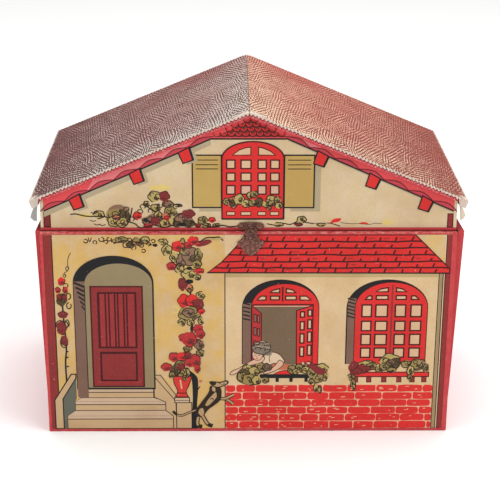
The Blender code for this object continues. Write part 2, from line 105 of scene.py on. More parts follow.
class ToyBoxColours(PropertyGroup):
    cloth: colour_property("Cloth", "Book-cloth over the walls and edges", "#B93A40")
    cloth_worn: colour_property("Worn cloth", "Cloth rubbed down to its paler threads", "#E3A093")
    paper: colour_property("Paper", "Bare printing paper where the ink has rubbed off", "#E6D3B4")
    # The left slope's three colours are the right slope's paper, darkened with painted shade and greyed with
    # dust.
    left_valley: colour_property("Left hollows", "Maroon ink in the hollows of the left slope", "#55322F")
    left_crest: colour_property("Left crests", "Crests of the left slope, least rubbed", "#AB716B")
    left_rubbed: colour_property("Left rubbed", "Crests of the left slope rubbed to grey pulp", "#CBBFB3")
    right_valley: colour_property("Right hollows", "Red ink in the hollows of the right slope", "#7C3A30")
    right_crest: colour_property("Right crests", "Crests of the right slope, least rubbed", "#C67264")
    right_rubbed: colour_property("Right rubbed", "Crests of the right slope rubbed to tan pulp", "#DEBFA3")
    roof_worn: colour_property("Roof pulp", "Bare pulp at worn corners and cut edges", "#D2C4B6")
    verge: colour_property("Verge", "Red paper turned down over the roof's ends", "#C8414A")
    board: colour_property("Board", "Soft board at its cut edges", "#8A7355")
    lining: colour_property("Lining", "Plain paper inside and underneath", "#C2B08E")
    flap_left: colour_property("Left flap", "Greyed card under the left eave", "#A5A3A0")
    flap_right: colour_property("Right flap", "Buff card under the right eave", "#CDB9A4")
    iron: colour_property("Iron", "Tarnished sheet iron", "#4C332F")
    rust: colour_property("Rust", "Old rust on the ironwork", "#925C4E")
    floor: colour_property("Floor", "Surface the box stands on", "#FDFDFC")


class ToyBoxSizes(PropertyGroup):
    ripple_across: length_property("Ripple across", "Spacing of the embossed ripples down the slope", 2.1)
    ripple_along: length_property("Ripple along", "Spacing of the ripples along the ridge", 5.6)
    ripple_depth: length_property("Ripple depth", "Depth of the emboss, hollow to crest", 0.6)
    scallop: length_property("Scallop", "Spacing of the scallops along the roof's cut edge", 2.8)
    roof_cell: length_property("Roof cell", "Mesh spacing down the roof", 0.45)
    thread: length_property("Thread", "Thread spacing of the book-cloth", 0.8)
    outline: length_property("Outline", "Width of the printed outlines", 0.9)
    ink_step: length_property("Ink step", "Distance between overlapping inks", 0.01)


def sizes():
    return bpy.context.scene.toy_box_sizes


def colours():
    return bpy.context.scene.toy_box_colours


# ---------------------------------------------------------------- materials


def add_node(tree, kind, inputs=None, **settings):
    """Adds a node, sets it up, and gives its inputs values or links."""
    made = tree.nodes.new(kind)
    for key, value in settings.items():
        setattr(made, key, value)
    for key, value in (inputs or {}).items():
        if isinstance(value, bpy.types.NodeSocket):
            tree.links.new(value, made.inputs[key])
        else:
            made.inputs[key].default_value = value
    return made


def noise(tree, place, size, detail, roughness=0.5):
    """Noise from 0 to 1 whose largest marks are about size metres across."""
    return add_node(tree, "ShaderNodeTexNoise", {"Vector": place, "Scale": 1 / size, "Detail": detail,
                                                 "Roughness": roughness}).outputs["Fac"]


def ramp(tree, value, low=0.0, high=1.0, start=0.0, end=1.0):
    """The value's stretch from low to high laid onto start to end, and held beyond them."""
    return add_node(tree, "ShaderNodeMapRange", {"Value": value, "From Min": low, "From Max": high,
                                                 "To Min": start, "To Max": end}).outputs[0]


def mix(tree, share, first, second, **settings):
    """A colour between first and second, by share. Each is a socket or linear RGB."""
    first, second = (c if isinstance(c, bpy.types.NodeSocket) else (*c, 1) for c in (first, second))
    return add_node(tree, "ShaderNodeMix", {0: share, 6: first, 7: second}, data_type="RGBA",
                    **settings).outputs[2]


def maths(tree, operation, *values, **settings):
    return add_node(tree, "ShaderNodeMath", dict(enumerate(values)), operation=operation,
                    **settings).outputs[0]


def axes(tree, place):
    """The three coordinates of a place, one socket each."""
    return add_node(tree, "ShaderNodeSeparateXYZ", {0: place}).outputs


def start_material(name, **fixed):
    """A new material, its tree, its shader and its object coordinates. fixed holds the shader's constants."""
    made = bpy.data.materials.new(name)
    made.use_nodes = True
    tree = made.node_tree
    shader = tree.nodes["Principled BSDF"]
    for key, value in fixed.items():
        shader.inputs[key.replace("_", " ").title().replace("Ior", "IOR")].default_value = value
    place = add_node(tree, "ShaderNodeTexCoord").outputs["Object"]
    return made, tree, shader, place


def finish_surface(tree, shader, colour, height, depth, roughness):
    """Joins the colour, roughness and bump to the shader. depth is the bump's real depth in metres."""
    bump = add_node(tree, "ShaderNodeBump", {"Strength": 1.0, "Distance": depth, "Height": height})
    for name, value in (("Base Color", colour), ("Roughness", roughness), ("Normal", bump.outputs[0])):
        tree.links.new(value, shader.inputs[name])


def speckled(tree, place, colour, strays, amount):
    """The colour with fine fibre variation: strays is a paler or darker colour, amount from 0 to 1."""
    fibre = noise(tree, place, 0.9 * MM, 4.0, 0.65)
    return mix(tree, ramp(tree, fibre, 0.3, 0.75, 0.0, amount), colour, strays), fibre


def litho_ink(ink):
    """Stone-printed ink on wood-pulp paper: flat colour, faintly mottled, with scuffs down to the paper,
    fine scratches and a yellow-brown toning that crosses every colour alike. A ground is sponged over."""
    made, tree, shader, place = start_material("litho_ink_" + ink, specular_ior_level=0.18)
    paper = colours().paper
    ground = linear(INKS[ink])
    if ink in CLOUDS:
        sponge = noise(tree, place, 13 * MM, 3.0)
        ground = mix(tree, ramp(tree, sponge, 0.38, 0.58, 0.0, 0.85), ground, linear(CLOUDS[ink]))
        freckle = noise(tree, place, 1.3 * MM, 4.0, 0.8)
        ground = mix(tree, ramp(tree, freckle, 0.5, 0.75, 0.0, 0.4), ground, linear("#A5885C"))
    grain, fibre = speckled(tree, place, ground, paper, 0.008 if ink in DARK_INKS else 0.05)
    toning = noise(tree, place, 34 * MM, 5.0)
    aged = mix(tree, ramp(tree, toning, 0.42, 0.72, 0.0, 0.2), grain, linear("#B4803C"),
               blend_type="MULTIPLY")
    scuff = noise(tree, place, 2.6 * MM, 3.0, 0.7)
    turned = add_node(tree, "ShaderNodeMapping", {"Vector": place, "Rotation": (0.0, 0.5, 0.0),
                                                  "Scale": (1 / (22 * MM), 1.0, 1 / (0.9 * MM))})
    scratch = noise(tree, turned.outputs[0], 1.0, 1.0)
    bare = maths(tree, "MAXIMUM", ramp(tree, scuff, 0.70, 0.73, 0.0, 0.6),
                 ramp(tree, scratch, 0.80, 0.82, 0.0, 0.4))
    finish_surface(tree, shader, mix(tree, bare, aged, paper), fibre, 0.04 * MM,
                   ramp(tree, bare, start=0.5, end=0.85))
    return made


def plain_paper(name, colour, blotch="#8E7448", amount=0.3):
    """Uncoated lining paper: matt, fibrous, with foxing and handling marks."""
    made, tree, shader, place = start_material(name, specular_ior_level=0.2)
    grain, fibre = speckled(tree, place, colour, linear("#F0E4CC"), 0.2)
    stain = noise(tree, place, 18 * MM, 6.0, 0.6)
    foxed = mix(tree, ramp(tree, stain, 0.48, 0.75, 0.0, amount), grain, linear(blotch))
    finish_surface(tree, shader, foxed, fibre, 0.08 * MM, ramp(tree, fibre, start=0.72, end=0.92))
    return made


def greyboard(name):
    """Layered soft board, bare at its cut edges: brown, woolly, with lines of its plies."""
    made, tree, shader, place = start_material(name, specular_ior_level=0.2)
    ply = noise(tree, place, 1.4 * MM, 5.0, 0.7)
    share = ramp(tree, ply, 0.3, 0.7)
    finish_surface(tree, shader, mix(tree, share, linear("#5E4A34"), colours().board), share, 0.15 * MM,
                   ramp(tree, ply, start=0.8, end=0.95))
    return made


def book_cloth(name, edges):
    """Starched cotton book-cloth: a fine plain weave under dull red size, rubbed to white thread where
    hands and corners touch. edges lists (axis, sign, place, reach) of the arrises that have worn."""
    made, tree, shader, place = start_material(name, specular_ior_level=0.2)
    pitch = 2 * math.pi / sizes().thread
    split = axes(tree, place)
    waves = [maths(tree, "SINE", maths(tree, "MULTIPLY", axis, pitch)) for axis in split]
    weave = maths(tree, "ADD", maths(tree, "ADD", waves[0], waves[1]), waves[2])
    patch = noise(tree, place, 5 * MM, 6.0, 0.72)
    colour = mix(tree, ramp(tree, patch, 0.35, 0.72, 0.0, 0.5), colours().cloth, linear("#CE5C56"))
    rubbed = [ramp(tree, maths(tree, "MULTIPLY", split[axis], sign), sign * at - reach, sign * at)
              for axis, sign, at, reach in edges]
    if rubbed:
        edge = functools.reduce(lambda one, other: maths(tree, "MAXIMUM", one, other), rubbed)
        bare = ramp(tree, maths(tree, "MULTIPLY", edge, patch), 0.44, 0.66, 0.0, 0.9)
        colour = mix(tree, bare, colour, colours().cloth_worn)
    finish_surface(tree, shader, colour, ramp(tree, weave, -2.0, 2.0), 0.06 * MM,
                   ramp(tree, patch, start=0.55, end=0.8))
    return made


def embossed_paper(name, valley, crest_fresh, crest_rubbed):
    """Thick embossed roofing paper: red-brown ink stays in the hollows, the crests are rubbed to pulp, and
    the turned-down ends show a cut cream edge, with a dark crimson band of painted shadow under its
    scallops, over red. The mesh carries how high each point stands, lowered towards the eave as painted
    shade (crest), how far it has worn (worn), how much it has been rubbed (rub) and its depth down an end
    face."""
    made, tree, shader, place = start_material(name, specular_ior_level=0.2)
    crest, worn, rub, depth = (add_node(tree, "ShaderNodeAttribute", attribute_name=label).outputs["Fac"]
                               for label in ("crest", "worn", "rub", "depth"))
    patch = noise(tree, place, 16 * MM, 5.0, 0.65)
    fine = noise(tree, place, 0.9 * MM, 3.0)
    lift = ramp(tree, patch, 0.3, 0.7, -0.1, 0.1)
    grit = ramp(tree, fine, 0.3, 0.7, -0.15, 0.15)
    share = ramp(tree, maths(tree, "ADD", maths(tree, "ADD", crest, lift), grit), 0.3, 0.72)
    rubbed = mix(tree, maths(tree, "ADD", rub, lift, use_clamp=True), crest_fresh, crest_rubbed)
    top = mix(tree, worn, mix(tree, share, valley, rubbed), colours().roof_worn)
    zigzag = maths(tree, "PINGPONG", axes(tree, place)[0], sizes().scallop / 2)
    ragged = maths(tree, "MULTIPLY", fine, 1.4 * MM)
    lower = maths(tree, "SUBTRACT", maths(tree, "SUBTRACT", depth, zigzag), ragged)
    pulp = mix(tree, ramp(tree, fine, 0.5, 0.62, 0.0, 0.45), colours().verge, colours().roof_worn)
    # The dark crimson is painted shadow under the cream scallops of the cut edge, above the red.
    end = mix(tree, ramp(tree, lower, 0.9 * MM, 1.2 * MM), linear("#72141C"), pulp)
    finish_surface(tree, shader, mix(tree, ramp(tree, lower, 0.1 * MM, 0.25 * MM), top, end), fine, 0.12 * MM,
                   ramp(tree, share, start=0.62, end=0.9))
    return made


def rusted_iron(name, ribs=0.0):
    """Thin stamped sheet iron under old brown rust: dull, pitted, with a few dark bare places. ribs is the
    pitch of the arched ribs pressed into it, or 0 for none."""
    made, tree, shader, place = start_material(name, specular_ior_level=0.3)
    height, deep = noise(tree, place, 1.0 * MM, 6.0, 0.75), 0.2 * MM
    bloom = noise(tree, place, 1.9 * MM, 4.0)
    rust = ramp(tree, maths(tree, "ADD", height, bloom), 0.85, 1.15)
    colour = mix(tree, rust, colours().iron, colours().rust)
    colour = mix(tree, ramp(tree, bloom, 0.56, 0.68, 0.0, 0.7), colour, linear("#7E7E68"))
    if ribs:
        low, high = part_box("hasp_tongue")
        split = axes(tree, place)
        off = maths(tree, "SUBTRACT", split[0], (low.x + high.x) / 2)
        sag = maths(tree, "MULTIPLY", maths(tree, "POWER", off, 2.0), 1 / (9 * MM))
        turn = maths(tree, "MULTIPLY", maths(tree, "ADD", split[2], sag), 2 * math.pi / ribs)
        wave = maths(tree, "SINE", turn)
        height, deep = maths(tree, "MULTIPLY_ADD", wave, 0.3, height), 0.45 * MM
        colour = mix(tree, ramp(tree, wave, -1.0, 0.2, 0.85, 0.0), colour, linear("#3A2422"))
    tree.links.new(ramp(tree, rust, start=0.5, end=0.1), shader.inputs["Metallic"])
    finish_surface(tree, shader, colour, height, deep, ramp(tree, rust, start=0.5, end=0.85))
    return made


def studio_floor(name):
    """Matt white paper sweep: almost even, with the faintest tooth."""
    made, tree, shader, place = start_material(name, specular_ior_level=0.1)
    tooth = noise(tree, place, 2 * MM, 3.0)
    finish_surface(tree, shader, mix(tree, tooth, colours().floor, linear("#FAFAF9")), tooth, 0.05 * MM,
                   ramp(tree, tooth, start=0.9, end=0.98))
    return made


def dress(node, material, bevel=0.0):
    """Gives a CAD node its finish, and rounds its arrises where it is thick enough to show them."""
    made = NODES[node]
    made.data.materials.clear()
    made.data.materials.append(material)
    if bevel:
        weld = made.modifiers.new("weld", "WELD")
        weld.merge_threshold = 0.002 * MM
        round_over = made.modifiers.new("round", "BEVEL")
        round_over.width = bevel
        round_over.segments = 3
        round_over.limit_method = "ANGLE"
        round_over.angle_limit = math.radians(40)
        round_over.harden_normals = False


# ---------------------------------------------------------------- printing


def arc(cx, cz, rx, rz, start, end, steps=16):
    """Points on an ellipse, angles in degrees from +X towards +Z."""
    turns = [math.radians(start + (end - start) * i / steps) for i in range(steps + 1)]
    return [(cx + rx * math.cos(t), cz + rz * math.sin(t)) for t in turns]


def arch(left, right, foot, spring, top, steps=24):
    """A doorway's outline: straight sides up to the spring line, then half an ellipse."""
    middle = (left + right) / 2
    crown = arc(middle, spring, (right - left) / 2, top - spring, 180, 0, steps)
    return [(left, foot), *crown, (right, foot)]


def rect(left, foot, right, top):
    return [(left, foot), (right, foot), (right, top), (left, top)]


def lobes(cx, cz, rx, rz, count, depth, turn=0.0):
    """A round shape with a scalloped rim."""
    steps = count * 6
    made = []
    for i in range(steps):
        a = 2 * math.pi * i / steps
        reach = 1 - depth + depth * abs(math.cos(count * a / 2))
        made.append((cx + rx * reach * math.cos(a + turn), cz + rz * reach * math.sin(a + turn)))
    return made


def curved(points, steps=4, closed=False):
    """A smooth line through the points, by Catmull-Rom."""
    ends = [points[-1], *points, points[0], points[1]] if closed else [points[0], *points, points[-1]]
    made = []
    for a, b, c, d in zip(ends, ends[1:], ends[2:], ends[3:]):
        a, b, c, d = map(Vector, (a, b, c, d))
        for step in range(steps):
            t = step / steps
            made.append(tuple(0.5 * (2 * b + (c - a) * t + (2 * a - 5 * b + 4 * c - d) * t * t
                                     + (3 * b - a - 3 * c + d) * t ** 3)))
    return made if closed else [*made, tuple(points[-1])]


class Press:
    """Lays inks on one sheet, in millimetres across and up. Each shape is a thin flat face that stands
    one ink step in front of the highest shape that it overlaps."""

    def __init__(self, face_y, seed):
        self.face_y = face_y
        self.shapes = []
        self.chance = random.Random(seed)
        self.register(1, 0, 1, 0)

    def register(self, wide, right, tall, up):
        """How the artwork drawn from here on is stretched and shifted as it goes onto the sheet."""
        self.wide, self.right, self.tall, self.up = wide, right, tall, up

    def lay(self, ink, faces):
        faces = [[(x * self.wide + self.right, z * self.tall + self.up) for x, z in face] for face in faces]
        points = [p for face in faces for p in face]
        box = (min(p[0] for p in points), min(p[1] for p in points),
               max(p[0] for p in points), max(p[1] for p in points))
        level = 1
        for _, _, other, height in self.shapes:
            if box[0] < other[2] and other[0] < box[2] and box[1] < other[3] and other[1] < box[3]:
                level = max(level, height + 1)
        self.shapes.append((ink, faces, box, level))

    def fill(self, ink, points):
        self.lay(ink, [points])

    def line(self, ink, points, width=None, closed=False):
        """A printed line of even width, mitred at its bends."""
        half = (width or sizes().outline / MM) / 2
        points = [Vector(p) for i, p in enumerate(points) if i == 0 or Vector(p) != Vector(points[i - 1])]
        count = len(points)
        left, right = [], []
        for i, point in enumerate(points):
            before = points[(i - 1) % count] if closed or i else point
            after = points[(i + 1) % count] if closed or i < count - 1 else point
            runs = [r.normalized() for r in (point - before, after - point) if r.length > 1e-9]
            along = (runs[0] + runs[-1]).normalized() if (runs[0] + runs[-1]).length > 0.2 else runs[0]
            side = Vector((-along.y, along.x))
            reach = half / max(0.5, abs(side.dot(Vector((-runs[0].y, runs[0].x)))))
            left.append(tuple(point + side * reach))
            right.append(tuple(point - side * reach))
        pairs = list(range(count)) + ([0] if closed else [])
        self.lay(ink, [[left[a], right[a], right[b], left[b]] for a, b in zip(pairs, pairs[1:])])

    def outlined(self, ink, points, width=None, edge="black"):
        self.fill(ink, points)
        self.line(edge, points, width, closed=True)

    def soft(self, ink, points, width=None, edge="line_brown"):
        """A smooth closed shape, outlined where a width is given."""
        shape = curved(points, closed=True)
        self.fill(ink, shape)
        if width:
            self.line(edge, shape, width, closed=True)

    def stroke(self, points, width, ink="line_brown"):
        """A smooth printed line."""
        self.line(ink, curved(points), width)

    def blob(self, ink, x, z, wide, tall, edge="line_brown", turns=0.85, width=0.8):
        """A lobed shape, part of its rim drawn over with a wavering line."""
        rim = lobes(x, z, wide, tall, 5, 0.15, self.chance.uniform(0, 6.28))
        self.fill(ink, rim)
        if edge:
            start = self.chance.randrange(len(rim))
            drawn = [rim[(start + i) % len(rim)] for i in range(int(len(rim) * turns))]
            self.line(edge, drawn, width)

    def bloom(self, x, z, wide, tall, ink):
        """A rose seen as a blob: scalloped, its shaded side darker, with a stroke or two for petals."""
        wide, tall = wide * 1.2, tall * 1.2
        self.blob(ink, x, z, wide, tall, "dark_red", 0.6, 0.6)
        self.fill("bloom_dark", lobes(x + wide * 0.25, z - tall * 0.3, wide * 0.55, tall * 0.45, 4, 0.3, x))
        self.line("dark_red", arc(x - wide * 0.1, z, wide * 0.5, tall * 0.45, 200, 330, 6), 0.45)

    def leaf(self, x, z, wide, tall, ink="leaf", marks=2):
        """A clump of leaves: olive, dark along its shaded side, ringed with scribbled loops."""
        self.blob(ink, x, z, wide, tall)
        self.fill("leaf_dark", lobes(x + wide * 0.3, z - tall * 0.35, wide * 0.45, tall * 0.35, 4, 0.35, z))
        for _ in range(marks):
            cx = x + self.chance.uniform(-0.5, 0.5) * wide
            cz = z + self.chance.uniform(-0.5, 0.5) * tall
            start = self.chance.uniform(0, 360)
            self.line("line_brown", arc(cx, cz, wide * 0.32, tall * 0.32, start, start + 220, 7), 0.65)

    def leaves(self, clumps, marks=2):
        for x, z, wide, tall, ink in clumps:
            self.leaf(x, z, wide, tall, ink, marks)

    def blooms(self, flowers):
        for x, z, wide, tall, ink in flowers:
            self.bloom(x, z, wide, tall, ink)

    def ring(self, x, z, wide, tall, width=0.6, ink="line_brown"):
        """A loop of line, not quite closed."""
        start = self.chance.uniform(0, 360)
        self.line(ink, arc(x, z, wide, tall, start, start + 310, 12), width)

    def build(self, name, body):
        """Makes one mesh of all the shapes, a material slot for each ink."""
        used = sorted({ink for ink, *_ in self.shapes})
        mesh = bpy.data.meshes.new(name)
        for ink in used:
            mesh.materials.append(ink_material(ink))
        bm = bmesh.new()
        for ink, faces, _, level in self.shapes:
            y = self.face_y - level * sizes().ink_step
            for face in faces:
                made = bm.faces.new([bm.verts.new((px * MM, y, pz * MM)) for px, pz in face])
                made.material_index = used.index(ink)
                made.normal_update()
                if made.normal.y > 0:
                    made.normal_flip()
        bm.to_mesh(mesh)
        bm.free()
        made = bpy.data.objects.new(name, mesh)
        bpy.context.scene.collection.objects.link(made)
        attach(made, body)
        return made


def ink_material(ink):
    return bpy.data.materials.get("litho_ink_" + ink) or litho_ink(ink)


# ---------------------------------------------------------------- front sheet


def front_ground(press):
    """The plaster, the frame down both sides and the eave's shadow."""
    press.fill("buff", rect(-157.5, ART_FOOT, -18.5, ART_TOP))
    press.fill("wall_cream", rect(-18.5, ART_FOOT, 147.5, ART_TOP))
    press.fill("buff", rect(127, 138, 151.5, ART_TOP))
    press.fill("under_eave", rect(-18, 134.8, 147, 138.5))
    press.line("line_brown", [(-18.5, 138), (-18.5, ART_FOOT)], 0.8)
    press.fill("deep_red", rect(-157.6, ART_FOOT, -151.3, ART_TOP))
    press.line("black", [(-151.2, ART_TOP), (-151.2, 35)], 0.8)
    press.fill("olive_band", rect(148, ART_FOOT, 151, 138))
    press.fill("buff_light", rect(150.9, ART_FOOT, 152, 145))
    press.fill("deep_red", rect(152.3, ART_FOOT, 156, ART_TOP))
    for x in (147.6, 150.8, 152.2):
        press.line("black", [(x, ART_FOOT), (x, 138 if x < 152 else ART_TOP)], 0.7)


def steps_and_walls(press):
    """Three steps up to the door, with a parapet on each side."""
    rises = ((-133.5, -75.5, 30, 38, 41), (-138.5, -66, 19, 27, 30.5), (-145, -60, ART_FOOT, 14, 19))
    upper = (-126, -83)
    for left, right, foot, top, back in rises:
        press.outlined("step_tread", [(left, top), (right, top), (upper[1], back),
                (upper[0], back)], 0.5, "line_brown")
        press.fill("step_riser", rect(left, foot, right, top))
        press.fill("step_tread", rect(left, top - 2.6, right, top))
        press.line("line_brown", [(left, top - 2.7), (right, top - 2.7)], 0.7)
        press.line("line_brown", [(left, top), (left, foot), (right, foot), (right, top)], 0.7)
        upper = (left, right)
    press.fill("step_shade", [(-148, ART_FOOT), (-148, 29), (-137, 48), (-137, 30), (-138.6, 27),
            (-138.6, 19), (-145, 14), (-145, ART_FOOT)])
    press.outlined("step_riser", [(-154.5, ART_FOOT), (-154.5, 28.5), (-140.5, 51.5), (-137, 51.5),
            (-137, 48), (-148, 29.5), (-148, ART_FOOT)])
    press.outlined("step_riser", [(-75, 50.5), (-69.8, 50.5), (-58, 33), (-57.5, ART_FOOT),
            (-60, ART_FOOT), (-60, 14), (-66, 19), (-66, 26.5), (-75, 31)], 0.6, "line_brown")
    press.line("line_brown", [(-75, 49.5), (-57.6, 27)], 0.6)


def doorway(press):
    """The arched porch with its hatched jamb, and the boarded door."""
    press.fill("black", arch(-136.3, -73.8, 38, 130, 153))
    press.fill("jamb_brown", rect(-135.7, 31, -127.3, 131.5))
    press.fill("arch_olive", arch(-127.3, -75, 39.5, 129.5, 146.5))
    press.line("black", [(-127.4, 128), (-127.4, 39)], 0.7)
    for i in range(6):
        z = 129.6 - 3.9 * i
        press.line("black", [(-135.4 + i * 1.05, z + 0.9), (-127.8, z - 2.6)], 1.7 - i * 0.13)
    press.outlined("door_red", rect(-123, 40.6, -82.8, 127.2), 1.2, "dark_red")
    press.fill("door_light", rect(-120.5, 43.5, -84.5, 46))
    press.outlined("door_light", rect(-117.2, 75, -88.2, 121.8), 1.6, "dark_red")
    for x in (-111.6, -108.9, -104.3, -102.0, -97.4, -95.0):
        press.line("dark_red", [(x, 75.5), (x, 121.4)], 1.25)
    press.line("dark_red", [(-117, 121), (-117, 75.5)], 1.9)
    press.outlined("door_red", rect(-116.4, 46, -88.4, 70.5), 1.5, "dark_red")
    press.line("dark_red", [(-116.2, 70.3), (-88.6, 70.3)], 2)


def awning(press):
    """The tiled roof over the two windows."""
    edge_left = [(-32, 138.6), (-21, 147.5), (-14, 155.5), (-8, 162.5), (-3.3, ART_TOP)]
    press.outlined("red", [*edge_left, (127.8, ART_TOP), (155.5, 142), (155.8, 138.2)], 1.0, "dark_red")
    rows = (164.6, 159.2, 153.6, 148, 142.8)
    for z in rows:
        left = np.interp(z, [p[1] for p in edge_left], [p[0] for p in edge_left])
        right = np.interp(-z, [-ART_TOP, -142], [127.8, 155.5])
        xs = np.arange(left, right, 8.0)
        press.line("dark_red", [(x, z + press.chance.uniform(-0.35, 0.35)) for x in [*xs, right]], 1.3)
    for row, z in enumerate((*rows, 138.6)):
        left = np.interp(z + 3, [p[1] for p in edge_left], [p[0] for p in edge_left])
        right = np.interp(-z - 3, [-ART_TOP, -142], [127.8, 155.5])
        x = left + 6 + row % 2 * 6.5
        while x < right - 3:
            lean = press.chance.uniform(0.6, 2.0)
            high = press.chance.uniform(2.6, 4.4)
            press.line("dark_red", [(x, z), (x + lean * 0.4, z + high * 0.5), (x + lean, z + high)], 1.35)
            if press.chance.random() < 0.22:
                press.line("bloom_dark", [(x + 3, z + 2.4), (x + 7.5, z + 2.6)], 0.7)
            x += press.chance.uniform(11.5, 14.5)
    press.line("black", [(-32, 138.8), (155.8, 138.2)], 1.1)


def brickwork(press):
    """Six courses of wavering bricks, scuffed here and there."""
    foot, top, left, right = (ART_FOOT, 41.6, -18, 147.2)
    press.fill("mortar", rect(left, foot, right, top))
    rows = 6
    high = (top - foot) / rows
    for row in range(rows):
        z = foot + row * high + press.chance.uniform(-0.2, 0.2)
        x = left - press.chance.uniform(2, 14)
        while x < right:
            wide = press.chance.uniform(14, 25)
            gap = press.chance.choice((0.2, 0.3, 0.4, 0.55))
            a, b = (max(left, x + gap), min(right, x + wide - gap))
            if b - a > 2:
                low, up = (z + press.chance.uniform(0.1, 0.35), z + high - press.chance.uniform(0.1, 0.4))
                sag, tip = (press.chance.uniform(-0.5, 0.5), press.chance.uniform(0.9, 1.7))
                press.fill("red", curved([(a + tip, low + sag * 0.4), ((a + b) / 2, low - sag * 0.5),
                        (b - tip, low + 0.1), (b, low + tip), (b - sag * 0.4, up - tip),
                        (b - tip * 1.3, up - 0.1), ((a * 2 + b) / 3, up - sag * 0.7),
                        (a + tip, up + sag * 0.4), (a + 0.1, up - tip),
                        (a + sag * 0.5, low + tip)], 3, closed=True))
                for _ in range(press.chance.choice((0, 1, 2, 3))):
                    if b - a > 8:
                        cx, cz = (press.chance.uniform(a + 2, b - 5),
                                press.chance.uniform(low + 1.2, up - 1.2))
                        press.line("mortar", [(cx, cz), (cx + press.chance.uniform(0.8, 3.4),
                                cz + 0.2)], press.chance.uniform(0.4, 0.75))
            x += wide


def open_window(press):
    """The window whose sashes stand open on a dim room."""
    press.fill("black", arch(-5.3, 55.3, 60, 109, 133))
    press.fill("jamb_brown", rect(-4.6, 60, 2.4, 113))
    for i in range(5):
        press.line("black", [(-4.4, 113 - 3.3 * i), (1.2, 111.6 - 3.3 * i)], 1.2)
    press.outlined("red", arch(2, 55, 60, 109, 129.4), 0.6, "dark_red")
    press.fill("room_brown", rect(2.6, 60, 50.6, 110.5))
    press.line("step_tread", [(4, 110.3), (49, 110.3)], 0.7)
    press.line("dark_red", [(3, 111.6), (51, 111.6)], 1.1)
    for shape in ([(16.8, 122), (18.5, 123.8), (24, 125.3), (24, 121.8)], [(29.2, 125.3), (34, 124.2),
            (36.6, 121.8), (29.2, 121.8)], [(6.5, 115.6), (9.5, 118.9), (13.4, 118.9),
            (13.4, 115.6)], rect(17, 115.8, 23.8, 118.9), rect(28.8, 115.8, 37, 118.9), [(40, 118.9),
            (45, 118.9), (48.5, 115.6), (40, 115.6)]):
        press.outlined("pane", shape, 1.1, "dark_red")
    press.line("dark_red", [(26.4, 127), (26.4, 114.5)], 1.2)
    press.outlined("bloom", [(2.6, 111), (10, 104), (10, 60), (2.6, 60)], 0.8, "dark_red")
    for i in range(4):
        z = 104.5 - i * 11.5
        for x, width in ((5.0, 1.1), (7.7, 0.9)):
            press.line("dark_red", [(x - 0.1, z + 0.9 - x * 0.3), (x + 0.2, z - 6.4 - x * 0.3)], width + 1.3)
            press.line("umber", [(x, z - x * 0.3), (x + 0.2, z - 5.6 - x * 0.3)], width)
    press.outlined("red", [(37.4, 106.6), (50.4, 111), (50.4, 60), (38, 60)], 0.9, "dark_red")
    for i, (low, top) in enumerate(((101, 105.5), (90, 97), (78.6, 86.5), (67, 75))):
        press.outlined("pane", rect(40.6, low, 43.6, top), 1.2, "dark_red")
        press.outlined("pane", rect(46.5, low + 1, 49.4, top + 1.6), 1.2, "dark_red")


def shut_window(press):
    """The closed window with its sixteen panes and fanlight."""
    press.fill("black", arch(76.4, 140.4, 60, 109, 133))
    press.fill("jamb_brown", rect(77.4, 60, 84, 117))
    for i in range(6):
        press.line("black", [(77.2, 117 - 3 * i), (83, 115.2 - 3 * i)], 1.1)
    press.outlined("red", arch(83.2, 140, 60, 109, 130.6), 0.6, "dark_red")
    for low, top in ((101.3, 111.3), (89.2, 97.3), (77, 86), (66, 74)):
        for left, right in ((88.7, 96), (99.5, 108.6), (114.8, 122.8), (127, 135.2)):
            press.outlined("pane", rect(left, low, right, top), 1.25, "dark_red")
    for shape in ([(99.2, 122.6), (103, 125), (108.6, 126), (108.6, 122.6)], [(115, 126), (120, 124.8),
            (122.8, 122.6), (115, 122.6)], [(91, 116), (93.5, 119), (96, 119),
            (96, 116)], rect(99.5, 116, 108.6, 119.2), rect(115, 116, 122.8, 119.2), [(127, 119), (130, 119),
            (132.8, 116), (127, 116)]):
        press.outlined("pane", shape, 1.15, "dark_red")
    press.line("deep_red", [(112, 128.5), (112, 66)], 1.3)


def garland(press):
    """Leaves and loops strung along the top, from over the doorway to the rose."""
    for x, z, size in ((-125, 165, 1.6), (-118, 164, 1.5), (-113, 166.4, 1.9), (-109.6, 164.4, 1.5),
            (-107, 166.6, 1.7), (-103.5, 164.6, 1.7), (-100.4, 166.8, 1.5), (-94.6, 161.6, 2.1),
            (-91.6, 166, 1.7), (-88.5, 159.6, 1.8), (-86.6, 166.4, 1.6), (-81, 157, 1.5), (-82.4, 161.4, 1.6),
            (-77, 162.5, 1.6), (-73.4, 165, 1.5)):
        press.ring(x, z, size, size * 0.9, 0.85)
    press.stroke([(-123, 168), (-122, 164.5), (-120.5, 168)], 0.7)
    press.leaves(((-97.5, 166.2, 5, 2.5, "leaf"), (-91, 162, 3.2, 2.6, "leaf_dark"),
            (-85, 164.5, 4.6, 3.2, "leaf"), (-79.5, 166.2, 3.6, 2.6, "leaf_light"),
            (-66, 164.4, 4, 2.6, "leaf_light")))
    press.blob("bloom_dark", -86, 163.8, 1.5, 1.3, None)
    press.blob("black", -72, 161.6, 2, 1.4, None)
    press.stroke([(-105, 164.6), (-100, 163.8), (-94, 165.4), (-74, 162)], 0.7)


